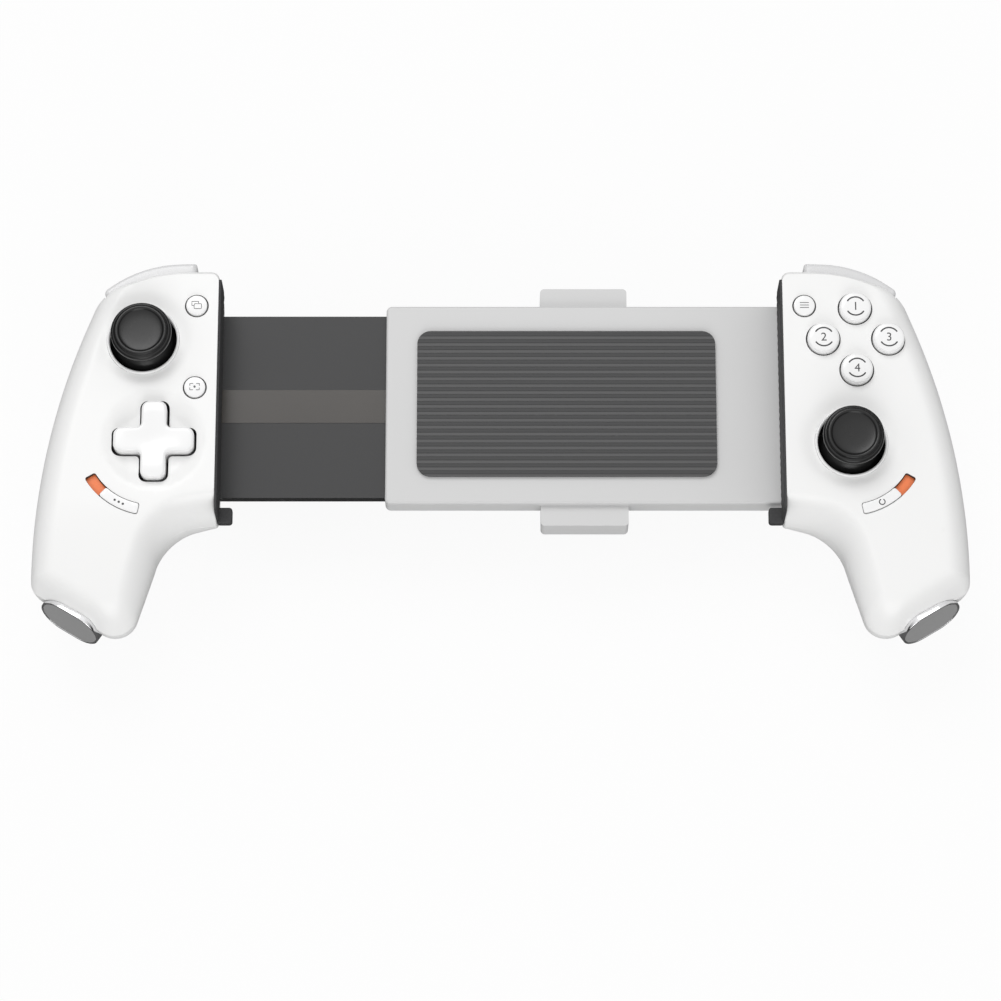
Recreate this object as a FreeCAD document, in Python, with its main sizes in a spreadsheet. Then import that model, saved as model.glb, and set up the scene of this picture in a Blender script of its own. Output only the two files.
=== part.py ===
import FreeCAD, Part
import math
import os
import re

# A telescopic game controller that holds a phone between two grips.
# Millimetres. Origin: centre of the plane that the phone's back rests on.
# +X to the right grip, +Y to the shoulder buttons, +Z out of the face.

Vector = FreeCAD.Vector
Rotation = FreeCAD.Rotation

SIZES = {
    # the gap for the phone and the levels of the grips
    "half_gap": 80.8,
    "face_level": 12.5,
    "parting_level": -1.5,
    "wall": 2.0,
    "top_edge": 36.6,
    "crotch_edge": -36.4,
    # plan of a grip
    "side_reach": 133.0,
    "side_bend_y": -13.4,
    "side_radius": 215.0,
    "shoulder_x": 116.6,
    "shoulder_y": 29.1,
    "shoulder_radius": 7.0,
    "top_bend_x": 98.0,
    "top_radius": 60.0,
    "crotch_x": 95.6,
    "crotch_y": -38.5,
    "crotch_radius": 13.0,
    "tip_x": 105.2,
    "tip_y": -72.3,
    "tip_radius": 6.5,
    "tail_y": -56.0,
    "tail_radius": 4.0,
    # section of a grip
    "front_round": 8.0,
    "rear_round": 11.0,
    "head_depth": 13.0,
    "palm_depth": 27.0,
    "palm_start": 28.0,
    "palm_full": -2.0,
    "palm_knee": 101.0,
    "bend_start": -33.0,
    "bend_radius": 86.0,
    "tail_start": -46.0,
    "tail_rise": 12.0,
    "palm_round": 20.0,
    "bevel": 4.6,
    "tail_bevel": 2.2,
    "inner_corner": 2.2,
    "top_round": 1.8,
    "grip_round": 8.0,
    # thumbsticks
    "stick_right_x": 99.4,
    "stick_right_y": -16.0,
    "stick_left_x": 102.0,
    "stick_left_y": 14.8,
    "pivot_level": 1.5,
    "stick_opening": 9.55,
    "ring_width": 0.9,
    "ring_height": 0.5,
    "ring_depth": 1.9,
    "housing_side": 13.0,
    "housing_wall": 1.2,
    "housing_top": 6.0,
    "yoke_length": 9.4,
    "yoke_width": 8.0,
    "yoke_thickness": 3.0,
    "yoke_trunnion": 1.2,
    "ball_radius": 2.6,
    "ball_trunnion": 0.9,
    "lever_radius": 1.2,
    "lever_below": 2.8,
    "dome_radius": 12.0,
    "dome_wall": 1.0,
    "dome_skirt": 4.1,
    "neck_radius": 3.3,
    "cap_radius": 8.65,
    "cap_underside": 16.0,
    "cap_thickness": 3.5,
    "cap_dish_radius": 6.15,
    "cap_dish_depth": 0.8,
    # round buttons
    "diamond_x": 101.4,
    "diamond_y": 14.9,
    "diamond_pitch": 9.3,
    "face_button_radius": 4.6,
    "face_button_height": 2.2,
    "face_button_round": 0.9,
    "face_button_travel": 1.2,
    "button_gap": 0.15,
    "face_button_flange": 0.8,
    "small_button_flange": 0.56,
    "flange_thickness": 1.4,
    "flange_gap": 0.2,
    "stem_radius": 2.0,
    "stem_gap": 0.2,
    "small_button_radius": 3.05,
    "small_button_height": 0.8,
    "small_button_round": 0.3,
    "small_button_travel": 0.8,
    "small_x": 86.9,
    "menu_y": 25.0,
    "capture_y": 0.3,
    # direction pad
    "dpad_x": 98.15,
    "dpad_y": -15.5,
    "dpad_span": 22.8,
    "dpad_arm": 7.1,
    "dpad_height": 2.0,
    "dpad_gap": 0.5,
    "dpad_corner": 1.6,
    "dpad_edge": 0.6,
    "dpad_flange": 13.2,
    "dpad_pivot": 5.0,
    "dpad_ball": 2.4,
    "dish_radius": 14.7,
    "dish_floor": 9.7,
    "dish_depth": 1.7,
    # curved buttons and accents
    "arc_radius": 20.6,
    "arc_width": 3.0,
    "arc_gap": 0.12,
    "arc_height": 0.5,
    "arc_end": 259.5,
    "arc_split": 226.8,
    "arc_start": 210.3,
    "accent_recess": 1.6,
    # circuit board and rubber pad
    "board_level": -5.5,
    "board_thickness": 1.4,
    "pad_thickness": 1.2,
    # bumpers and triggers
    "bumper_inner": 87.4,
    "bumper_outer": 114.8,
    "bumper_reach": 2.9,
    "bumper_low": 1.2,
    "bumper_high": 9.2,
    "bumper_gap": 0.35,
    "bumper_round": 0.9,
    "bumper_travel": 1.2,
    "bumper_back": 6.8,
    "bumper_radius": 34.0,
    "bumper_pin_x": 89.0,
    "bumper_pin_y": 31.9,
    "bumper_pin": 1.3,
    "pin_gap": 0.08,
    "trigger_inner": 92.0,
    "trigger_outer": 111.0,
    "trigger_gap": 0.5,
    "trigger_pin_y": 30.0,
    "trigger_pin_z": -5.6,
    "trigger_pin": 1.5,
    # end boss
    "boss_x": 120.85,
    "boss_y": -62.1,
    "boss_z": -5.6,
    "boss_turn": 31.0,
    "boss_tilt": 11.0,
    "boss_length": 19.0,
    "boss_height": 14.0,
    "boss_wall": 1.1,
    "boss_proud": 2.9,
    "boss_depth": 4.0,
    # bridge between the grips
    "sleeve_left": -33.0,
    "sleeve_front": -1.0,
    "sleeve_rear": -9.0,
    "sleeve_wall": 2.0,
    "block_left": 11.5,
    "block_right": 36.6,
    "block_reach": 6.0,
    "block_rear": -12.5,
    "rail_half": 27.6,
    "rail_end": 22.0,
    "rail_gap": 0.3,
    "rail_side": 0.4,
    "rest_pad_thickness": 1.0,
    "rest_pad_left": -24.0,
    "rest_pad_right": 62.0,
    "rest_pad_half": 22.0,
    "spring_radius": 1.6,
    "spring_spacing": 15.0,
    "tongue_length": 6.0,
    "tongue_half": 18.0,
    "tongue_thickness": 2.0,
    "tongue_level": -6.0,
    "cover_round": 0.8,
    "cover_corner": 1.6,
    "sleeve_round": 1.4,
    "block_round": 1.2,
    # cushions that hold the phone's ends
    "cushion_top": 34.0,
    "cushion_bottom": -35.6,
    "cushion_thickness": 0.8,
    "cushion_front": 11.4,
    "ledge_length": 4.4,
    "ledge_height": 5.0,
    "ledge_thickness": 1.6,
    "ledge_level": -2.3,
    # screws
    "screw_radius": 1.0,
    "screw_head_radius": 1.9,
    "screw_head_height": 1.4,
    "screw_boss_radius": 2.8,
    # battery
    "battery_inner": 9.4,
    "battery_outer": 12.0,
    "battery_start": 31.6,
    "battery_length": 28.0,
    "battery_thickness": 7.0,
    "battery_gap": 0.2,
}
# sizes that follow from the pieces that they hold
TIED = {
    "sleeve_half": "rail_half + rail_side + sleeve_wall",
    "block_half": "sleeve_half + block_reach",
}

doc = FreeCAD.newDocument("GameController")
sheet = doc.addObject("Spreadsheet::Sheet", "Sizes")
for row, (name, number) in enumerate([*SIZES.items(), *TIED.items()], start=1):
    sheet.set(f"A{row}", name)
    sheet.set(f"B{row}", f"={number}")
    sheet.setAlias(f"B{row}", name)
    doc.recompute()

NODES = {}
AXES = {
    "z": Rotation(),
    "x": Rotation(Vector(0, 1, 0), 90),
    "y": Rotation(Vector(1, 0, 0), -90),
}


def size(name):
    """The number that the sheet holds under an alias."""
    return float(sheet.get(name))


def formula(text):
    """Aliases in an expression, written as the sheet's own cells."""

    def cell(found):
        name = found.group()
        return "Sizes." + name if name in SIZES or name in TIED else name

    return re.sub(r"[a-z_]{3,}", cell, text)


def at(thing, x="0", y="0", z="0", turn=None):
    """Places an object by three expressions, after its rotation."""
    thing.Placement = FreeCAD.Placement(Vector(), turn or Rotation())
    for letter, text in zip("xyz", (x, y, z)):
        thing.setExpression(f".Placement.Base.{letter}", formula(text))
    return thing


def sized(kind, name, **sizes):
    thing = doc.addObject(kind, name)
    for prop, text in sizes.items():
        thing.setExpression(prop, formula(text))
    return thing


def cylinder(name, radius, height, x="0", y="0", z="0", along="z"):
    """A cylinder from a point on its axis along x, y or z."""
    return at(sized("Part::Cylinder", name, Radius=radius, Height=height), x, y, z, AXES[along])


def box(name, xs, ys, zs):
    """A box between two expressions on each axis."""
    thing = sized(
        "Part::Box",
        name,
        Length=f"({xs[1]}) - ({xs[0]})",
        Width=f"({ys[1]}) - ({ys[0]})",
        Height=f"({zs[1]}) - ({zs[0]})",
    )
    return at(thing, xs[0], ys[0], zs[0])


def mirrored_box(name, side, xs, ys, zs):
    """A box on the right grip, or its mirror image on the left one."""
    if side > 0:
        return box(name, xs, ys, zs)
    return box(name, (f"-({xs[1]})", f"-({xs[0]})"), ys, zs)


def ball(name, radius, x, y, z):
    return at(sized("Part::Sphere", name, Radius=radius), x, y, z)


def fuse(name, *things):
    thing = doc.addObject("Part::MultiFuse", name)
    thing.Shapes = list(things)
    return thing


def cut(name, base, *tools):
    thing = doc.addObject("Part::Cut", name)
    thing.Base = base
    thing.Tool = tools[0] if len(tools) == 1 else fuse(name + "_tools", *tools)
    return thing


def feature(name, shape):
    thing = doc.addObject("Part::Feature", name)
    thing.Shape = shape
    return thing


def edged(kind, name, base, width, chosen):
    """Rounds or bevels the edges of an object that a test picks."""
    doc.recompute()
    thing = doc.addObject(kind, name)
    thing.Base = base
    edges = []
    for number, edge in enumerate(base.Shape.Edges, start=1):
        if chosen(edge):
            edges.append((number, size(width), size(width)))
    thing.Edges = edges
    return thing


def revolved(name, profile, x, y):
    """A closed profile of (radius, level) points turned round an upright axis at x, y."""
    corners = [Vector(radius, 0, level) for radius, level in profile]
    wire = feature(name + "_profile", Part.Face(Part.makePolygon(corners + corners[:1])))
    thing = doc.addObject("Part::Revolution", name)
    thing.Source = wire
    thing.Axis = Vector(0, 0, 1)
    thing.Angle = 360
    thing.Solid = True
    return at(thing, x, y)


def arc_points(radius, start, end, count):
    """Points on a circle about the profile's own origin, between two angles from the axis' foot."""
    step = (end - start) / count
    angles = [math.radians(start + step * number) for number in range(count + 1)]
    return [(radius * math.cos(a), radius * math.sin(a)) for a in angles]


def node(label, thing):
    """Registers a finished sub-part under the name of its file."""
    thing.Label = label
    NODES[label] = thing
    return thing


def word(side):
    return "right" if side > 0 else "left"


# Outlines: polygons whose corners are rounded by arcs


def inward(points, insets):
    """Moves side i of an anticlockwise polygon, from point i to the next, inward by inset i."""
    lines = []
    for index, start in enumerate(points):
        end = points[(index + 1) % len(points)]
        way = Vector(end[0] - start[0], end[1] - start[1], 0)
        way.normalize()
        lines.append((start[0] - way.y * insets[index], start[1] + way.x * insets[index], way))
    moved = []
    for index, (x, y, way) in enumerate(lines):
        before_x, before_y, before = lines[index - 1]
        turn = before.x * way.y - before.y * way.x
        along = ((x - before_x) * way.y - (y - before_y) * way.x) / turn
        moved.append((before_x + before.x * along, before_y + before.y * along))
    return moved


def outline(points, radii, lift):
    """A wire of arcs and lines through a polygon. lift turns two coordinates into a point."""
    corners = [lift(*point) for point in points]
    count = len(corners)
    pull, ways = [], []
    for index, corner in enumerate(corners):
        back = corners[index - 1] - corner
        ahead = corners[(index + 1) % count] - corner
        half_turn = (math.pi - back.getAngle(ahead)) / 2
        pull.append(radii[index] * math.tan(half_turn))
        ways.append((back, ahead, half_turn))
    arcs = []
    for index, corner in enumerate(corners):
        back, ahead, half_turn = ways[index]
        share = min(
            1.0,
            0.96 * back.Length / (pull[index] + pull[index - 1]),
            0.96 * ahead.Length / (pull[index] + pull[(index + 1) % count]),
        )
        reach = pull[index] * share
        radius = radii[index] * share
        back = back / back.Length
        ahead = ahead / ahead.Length
        middle = back + ahead
        middle.normalize()
        arcs.append(
            (
                corner + back * reach,
                corner + middle * (radius / math.cos(half_turn) - radius),
                corner + ahead * reach,
            )
        )
    edges = []
    for index, (start, middle, end) in enumerate(arcs):
        edges.append(Part.Arc(start, middle, end).toShape())
        edges.append(Part.LineSegment(end, arcs[(index + 1) % count][0]).toShape())
    return Part.Wire(edges)


def in_plan(level):
    return lambda x, y: Vector(x, y, level)


def in_profile(place):
    return lambda y, z: Vector(place, y, z)


def prism(points, radii, level, height):
    """An upright solid with a rounded polygon as its plan."""
    return Part.Face(outline(points, radii, in_plan(level))).extrude(Vector(0, 0, height))


# The grip: its plan at levels from the face to the palm, within its side and end profiles

FRONT_LEVELS = (12.5, 11.6, 9.6, 5.5, -1.5)
REAR_LEVELS = (-1.5, -9.0, -17.0, -23.0, -27.5)
INNER_FRONT_LEVELS = (12.5, 8.0, -1.5)
INNER_REAR_LEVELS = (-1.5, -14.0, -27.5)
SHARP = 0.4


def plan_wire(level, inset):
    """The grip's plan at a level: rounded towards the face and the palm, straight beside the phone."""
    points = [
        (size("half_gap"), size("crotch_edge")),
        (size("crotch_x"), size("crotch_y")),
        (size("tip_x"), size("tip_y")),
        (size("side_reach"), size("tail_y")),
        (size("side_reach"), size("side_bend_y")),
        (size("shoulder_x"), size("shoulder_y")),
        (size("top_bend_x"), size("top_edge")),
        (size("half_gap"), size("top_edge")),
    ]
    parting = size("parting_level")
    up = max(level - parting, 0.0) / (size("face_level") - parting)
    down = max(parting - level, 0.0) / (size("palm_depth") + parting + 2.0)
    arc_up = 1 - math.sqrt(max(1 - up**2, 0.0))
    arc_down = 1 - math.sqrt(1 - down**2)
    hollow = size("bevel") * up**2 + size("grip_round") * arc_down + inset
    outer = size("front_round") * arc_up + size("rear_round") * arc_down + inset
    top = size("top_round") * up**8 + size("top_round") * arc_down + inset
    tail = size("tail_bevel") * up**2 + size("grip_round") * arc_down + inset
    insets = [hollow, hollow, tail, outer, outer, top, top, inset]
    radii = [
        SHARP,
        size("crotch_radius") + hollow,
        max(size("tip_radius") - hollow / 2, 1.5),
        max(size("tail_radius") - outer / 2, 1.5),
        size("side_radius") - outer,
        max(size("shoulder_radius") - inset, 2.0),
        size("top_radius") - top,
        max(size("inner_corner") - inset, SHARP),
    ]
    return outline(inward(points, insets), radii, in_plan(level))


def grip_levels(levels, inset):
    """A solid through the grip's plan at some levels, stretched past the first and last."""
    return Part.makeLoft([plan_wire(level, inset) for level in levels], True, True)


def side_profile(inset):
    """The grip seen along X: a flat face that bends back, a shallow head and a deep palm."""
    face = size("face_level") - inset
    head = inset - size("head_depth")
    palm = inset - size("palm_depth")
    bend, radius = size("bend_start"), size("bend_radius")
    tail = -76.0
    drop = (bend - tail) ** 2 / (2 * radius)
    middle = (bend + tail) / 2
    edges = [
        Part.LineSegment(Vector(0, 50.0, face), Vector(0, bend, face)).toShape(),
        Part.Arc(
            Vector(0, bend, face), Vector(0, middle, face - drop / 4), Vector(0, tail, face - drop)
        ).toShape(),
    ]
    outline_points = [
        (tail, face - drop),
        (tail, palm + size("tail_rise")),
        (size("tail_start"), palm),
        (size("palm_full"), palm),
        (size("palm_start"), head),
        (50.0, head),
        (50.0, face),
    ]
    for start, end in zip(outline_points, outline_points[1:]):
        edges.append(Part.LineSegment(Vector(0, *start), Vector(0, *end)).toShape())
    side = Part.Face(Part.Wire(edges)).extrude(Vector(2 * size("side_reach"), 0, 0))
    soft = [
        e
        for e in side.Edges
        if e.BoundBox.XLength > 100
        and e.BoundBox.ZMin < 0
        and size("tail_start") - 1 < e.BoundBox.YMin < size("palm_start") + 1
    ]
    return side.makeFillet(size("palm_round"), soft)


def end_profile(inset):
    """The grip seen along Y: the palm slopes up towards the phone."""
    gap, knee = size("half_gap"), size("palm_knee")
    reach = 2 * size("side_reach")
    top = 3 * size("face_level")
    head = inset - size("head_depth")
    palm = inset - size("palm_depth") - 1.0
    slope = (palm - head) / (knee - gap)
    start = gap - 5.0
    corners = [(start, head - slope * 5.0), (start, top), (reach, top), (reach, palm), (knee, palm)]
    wire = Part.makePolygon([Vector(x, -100.0, z) for x, z in corners + corners[:1]])
    return Part.Face(wire).extrude(Vector(0, 200.0, 0))


def grip_form(inset):
    """The whole grip, or the room inside it when moved inward by the wall."""
    front = grip_levels(INNER_FRONT_LEVELS if inset else FRONT_LEVELS, inset)
    rear = grip_levels(INNER_REAR_LEVELS if inset else REAR_LEVELS, inset)
    return front.fuse(rear).common(side_profile(inset)).common(end_profile(inset))


OUTER = grip_form(0.0)
INNER = grip_form(size("wall"))
if not OUTER.isValid() or not INNER.isValid():
    raise RuntimeError("the grip's form isn't valid")


def half_space(low, high):
    """A block that holds the right grip between two levels."""
    reach = 2 * size("side_reach")
    return Part.makeBox(reach, 2 * reach, high - low, Vector(0, -reach, low))


def on_side(shape, side):
    if side > 0:
        return shape
    return shape.mirror(Vector(), Vector(1, 0, 0))


SCREWS = (
    (size("half_gap") + 6.7, size("crotch_edge") + 5.9),
    (size("side_reach") - 14.0, size("side_bend_y") + 16.4),
    (size("side_reach") - 8.0, size("side_bend_y") - 12.6),
    (size("tip_x") + 2.3, size("tip_y") + 12.3),
)


def screw_bosses(low, high):
    """Round pillars at the screws, trimmed to the inside of the grip."""
    radius = size("screw_boss_radius")
    pillars = [
        Part.makeCylinder(radius, high - low, Vector(x, y, low), Vector(0, 0, 1)) for x, y in SCREWS
    ]
    return Part.makeCompound(pillars).common(OUTER)


def front_casting(side):
    """The front half of the hollow grip, with its pillars and the thick floor under the pad's dish."""
    parting = size("parting_level")
    form = OUTER.cut(INNER).common(half_space(parting, 40.0))
    form = form.fuse(screw_bosses(parting, size("face_level")))
    pin = Vector(size("bumper_pin_x"), size("bumper_pin_y"), size("bumper_high") + 0.25)
    form = form.fuse(Part.makeCylinder(size("bumper_pin") + 1.2, 1.6, pin).common(OUTER))
    if side < 0:
        centre = Vector(size("dpad_x"), size("dpad_y"), size("dpad_pivot") + 3.1)
        floor = Part.makeCylinder(size("dish_radius") + 0.8, 4.0, centre)
        form = form.fuse(floor.common(OUTER))
    return on_side(form.removeSplitter(), side)


def rear_casting(side):
    parting = size("parting_level")
    form = OUTER.cut(INNER).common(half_space(-60.0, parting))
    gap = size("trigger_gap")
    mouth = Part.makeBox(
        size("trigger_outer") - size("trigger_inner") + 2 * gap,
        20.0,
        30.0,
        Vector(size("trigger_inner") - gap, size("trigger_pin_y") - 4, parting - 28.0),
    )
    form = form.cut(mouth).fuse(screw_bosses(-60.0, parting))
    cheeks = trigger_cheeks().common(OUTER)
    post = Part.makeCylinder(
        size("bumper_pin") + 1.1,
        size("head_depth") + 0.9,
        Vector(size("bumper_pin_x"), size("bumper_pin_y"), -size("head_depth")),
    )
    form = form.fuse(cheeks).fuse(post.common(OUTER))
    return on_side(form.removeSplitter(), side)


def trigger_cheeks():
    """The two walls that carry a trigger's pin."""
    walls = []
    gap = size("trigger_gap")
    for inner in (size("trigger_inner") - gap - 1.8, size("trigger_outer") + gap):
        walls.append(Part.makeBox(1.8, 8.0, 12.0, Vector(inner, size("trigger_pin_y") - 3.2, -14.0)))
    return Part.makeCompound(walls)


def arc_centre(side):
    """The centre of a grip's curved button: the direction pad's, or its mirror image."""
    return side * size("dpad_x"), size("dpad_y")


def ring_sector(name, side, half_width, start, end, low, high):
    """A part of a flat ring about the curved button's centre, between two angles and levels."""
    x, y = arc_centre(side)
    centre = Vector(x, y, low)
    inner = size("arc_radius") - half_width
    outer = size("arc_radius") + half_width
    angles = (start, end) if side < 0 else (180 - end, 180 - start)
    first, middle, last = [
        Vector(math.cos(math.radians(a)), math.sin(math.radians(a)), 0)
        for a in (angles[0], sum(angles) / 2, angles[1])
    ]
    edges = [
        Part.Arc(centre + first * outer, centre + middle * outer, centre + last * outer).toShape(),
        Part.LineSegment(centre + last * outer, centre + last * inner).toShape(),
        Part.Arc(centre + last * inner, centre + middle * inner, centre + first * inner).toShape(),
        Part.LineSegment(centre + first * inner, centre + first * outer).toShape(),
    ]
    return feature(name, Part.Face(Part.Wire(edges)).extrude(Vector(0, 0, high - low)))


# Holes in the front shells

BUTTONS = {
    1: {
        "face_button_top": ("diamond_x", "diamond_y + diamond_pitch", "face_button"),
        "face_button_left": ("diamond_x - diamond_pitch", "diamond_y", "face_button"),
        "face_button_right": ("diamond_x + diamond_pitch", "diamond_y", "face_button"),
        "face_button_bottom": ("diamond_x", "diamond_y - diamond_pitch", "face_button"),
        "menu_button": ("small_x", "menu_y", "small_button"),
    },
    -1: {
        "view_button": ("-small_x", "menu_y", "small_button"),
        "capture_button": ("-small_x", "capture_y", "small_button"),
    },
}
STICKS = {1: ("stick_right_x", "stick_right_y"), -1: ("-stick_left_x", "stick_left_y")}


def bumper_plan(extra):
    """The plan of a bumper: it follows the shoulder, proud of it, or larger by a gap."""
    reach = size("top_edge") + size("bumper_reach") + extra
    inner = size("bumper_inner") - extra
    outer = size("bumper_outer") + extra
    back = size("top_edge") - size("bumper_back")
    outer_side = size("bumper_outer")
    return [
        (inner, reach),
        (inner, back - extra),
        (outer_side - 8.6, back + 1.2 - extra),
        (outer - 2.0, back - 2.3 - extra),
        (outer, back + 1.8 + extra),
        (outer_side - 11.6, reach - 0.4),
    ], [0.8, 0.5, 6.0, 0.6, 1.6, size("bumper_radius")]


def front_shell(side):
    name = word(side) + "_front_shell"
    casting = feature(name + "_casting", front_casting(side))
    deep = "face_level - wall - 4"
    holes = [
        cylinder(label + "_hole", f"{kind}_radius + button_gap", "wall + 8", x, y, deep)
        for label, (x, y, kind) in BUTTONS[side].items()
    ]
    for label, (x, y, kind) in BUTTONS[side].items():
        room = f"{kind}_radius + {kind}_flange + 0.2"
        holes.append(cylinder(label + "_flange_room", room, "4", x, y, deep))
    x, y = STICKS[side]
    holes.append(
        cylinder(name + "_stick_hole", "stick_opening + ring_width", "wall + 6", x, y, deep)
    )
    holes.append(
        ring_sector(
            name + "_arc_hole",
            side,
            size("arc_width") / 2 + size("arc_gap"),
            size("arc_start"),
            size("arc_end"),
            size("face_level") - size("wall") - 4,
            size("face_level") + 2,
        )
    )
    gap = size("bumper_gap")
    points, radii = bumper_plan(gap)
    height = size("bumper_high") - size("bumper_low") + 2 * gap
    slot = prism(points, radii, size("bumper_low") - gap, height)
    swing = Vector(0, -size("bumper_travel"), 0)
    slot = slot.fuse(slot.translated(Vector(0, 2, 0))).fuse(slot.translated(swing))
    holes.append(feature(name + "_bumper_slot", on_side(slot, side)))
    holes.append(
        cylinder(
            name + "_bumper_socket",
            "bumper_pin + pin_gap",
            "1.2",
            f"{side} * bumper_pin_x",
            "bumper_pin_y",
            "bumper_high",
        )
    )
    if side < 0:
        holes += dish_holes()
    holes.append(end_boss_form(name, side, 0.1, -size("boss_depth") - 1, 4.0))
    for number, (x, y) in enumerate(SCREWS):
        length = screw_reach(y) + 1.5
        foot = Vector(x, y, size("parting_level") - 0.5)
        hole = Part.makeCylinder(size("screw_radius"), length, foot)
        holes.append(feature(f"{name}_screw_hole_{number}", on_side(hole, side)))
    return node(name, cut(name + "_cut", casting, *holes))


def dish_holes():
    """The direction pad's round dish, its cross-shaped hole and the room for its flange."""
    floor = "face_level - dish_depth"
    slope = sized(
        "Part::Cone", "dish_slope", Radius1="dish_floor", Radius2="dish_radius", Height="dish_depth"
    )
    return [
        cylinder("dish_floor_hole", "dish_floor", "dish_depth + 2", "-dpad_x", "dpad_y", floor),
        at(slope, "-dpad_x", "dpad_y", floor),
        dpad_cross("dpad_hole", "dpad_gap", "dpad_pivot + 2", "face_level + 2"),
        cylinder("dpad_flange_room", "dpad_flange + 0.5", "3.1", "-dpad_x", "dpad_y", "dpad_pivot"),
    ]


def rear_shell(side):
    name = word(side) + "_rear_shell"
    casting = feature(name + "_casting", rear_casting(side))
    ledge = mirrored_box(
        name + "_ledge",
        side,
        ("half_gap - ledge_length - 0.4", "half_gap + wall"),
        ("crotch_edge", "crotch_edge + ledge_height"),
        ("ledge_level - ledge_thickness", "ledge_level"),
    )
    body = fuse(name + "_body", casting, ledge)
    middle = f"{side} * (trigger_inner + trigger_outer) / 2"
    reach = "trigger_outer - trigger_inner + 2 * trigger_gap + 2.4"
    pin = cylinder(
        name + "_pin_hole",
        "trigger_pin + 0.05",
        reach,
        f"{middle} - ({reach}) / 2",
        "trigger_pin_y",
        "trigger_pin_z",
        "x",
    )
    socket = cylinder(
        name + "_bumper_socket",
        "bumper_pin + pin_gap",
        "3",
        f"{side} * bumper_pin_x",
        "bumper_pin_y",
        "bumper_low - 2.1",
    )
    tools = [pin, socket, end_boss_form(name, side, 0.1, -size("boss_depth") - 1, 4.0)]
    for number, (x, y) in enumerate(SCREWS):
        hole = Part.makeCylinder(size("screw_radius") + 0.1, 60.0, Vector(x, y, -60.0))
        head = Part.makeCylinder(
            size("screw_head_radius") + 0.15, 60.0 + rear_seat(x, y), Vector(x, y, -60.0)
        )
        tools.append(feature(f"{name}_screw_hole_{number}", on_side(hole.fuse(head), side)))
    if side < 0:
        tools.append(
            box(
                "rail_window",
                ("-half_gap - wall - 8", "-half_gap + 1"),
                ("-rail_half - 0.1", "rail_half + 0.1"),
                ("sleeve_rear + sleeve_wall + rail_gap - 0.1", "sleeve_front - sleeve_wall - 0.08"),
            )
        )
    else:
        tools.append(
            box(
                "tongue_window",
                ("half_gap - 1", "half_gap + wall + 8"),
                ("-tongue_half - 0.1", "tongue_half + 0.1"),
                ("tongue_level - tongue_thickness - 0.1", "tongue_level + 0.1"),
            )
        )
    return node(name, cut(name + "_cut", body, *tools))


def rear_seat(x, y):
    """The level that a screw's head rests on, a wall and a recess above the rear surface."""
    surface = OUTER.common(Part.makeCylinder(0.5, 80.0, Vector(x, y, -60.0)))
    return surface.BoundBox.ZMin + size("wall") + size("screw_head_height")


def screw_reach(y):
    """How far a screw goes into the front shell: less at the thin tail."""
    return 3.5 if y < -50.0 else size("wall") + 4.0


def shell_screws(side):
    """Four countersunk-headed screws that hold a grip's halves together, as one group."""
    screws = []
    for x, y in SCREWS:
        seat = rear_seat(x, y)
        top = size("parting_level") + screw_reach(y)
        head = Part.makeCylinder(
            size("screw_head_radius"),
            size("screw_head_height"),
            Vector(x, y, seat - size("screw_head_height")),
        )
        shank = Part.makeCylinder(
            size("screw_radius") - 0.05, top - seat + 0.1, Vector(x, y, seat - 0.1)
        )
        screws.append(head.fuse(shank))
    return node(
        word(side) + "_shell_screws",
        feature(word(side) + "_screws", on_side(Part.makeCompound(screws), side)),
    )


# The chrome ring and its grey plate at the tail of a grip


def end_boss_form(name, side, grow, start, end):
    """An oblong bar along the tail's own direction, between two depths from its face."""
    half = (size("boss_length") - size("boss_height")) / 2
    radius = size("boss_height") / 2 + grow
    edges = [
        Part.Arc(
            Vector(half, 0, radius), Vector(half + radius, 0, 0), Vector(half, 0, -radius)
        ).toShape(),
        Part.LineSegment(Vector(half, 0, -radius), Vector(-half, 0, -radius)).toShape(),
        Part.Arc(
            Vector(-half, 0, -radius), Vector(-half - radius, 0, 0), Vector(-half, 0, radius)
        ).toShape(),
        Part.LineSegment(Vector(-half, 0, radius), Vector(half, 0, radius)).toShape(),
    ]
    bar = Part.Face(Part.Wire(edges)).extrude(Vector(0, start - end, 0))
    bar.translate(Vector(0, -start, 0))
    bar.rotate(Vector(), Vector(1, 0, 0), -size("boss_tilt"))
    bar.rotate(Vector(), Vector(0, 0, 1), size("boss_turn"))
    bar.translate(Vector(size("boss_x"), size("boss_y"), size("boss_z")))
    return feature(name + "_boss", on_side(bar, side))


def end_ring(side):
    name = word(side) + "_end_ring"
    outer = end_boss_form(name, side, 0.0, -size("boss_depth"), size("boss_proud"))
    bore = end_boss_form(
        name + "_bore", side, -size("boss_wall"), -size("boss_depth") - 1, size("boss_proud") + 1
    )
    return node(name, cut(name + "_cut", outer, bore))


def end_plate(side):
    name = word(side) + "_end_plate"
    start = 1 - size("boss_depth")
    end = size("boss_proud") - 0.4
    return node(name, end_boss_form(name, side, -size("boss_wall") - 0.05, start, end))


# Thumbsticks


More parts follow.
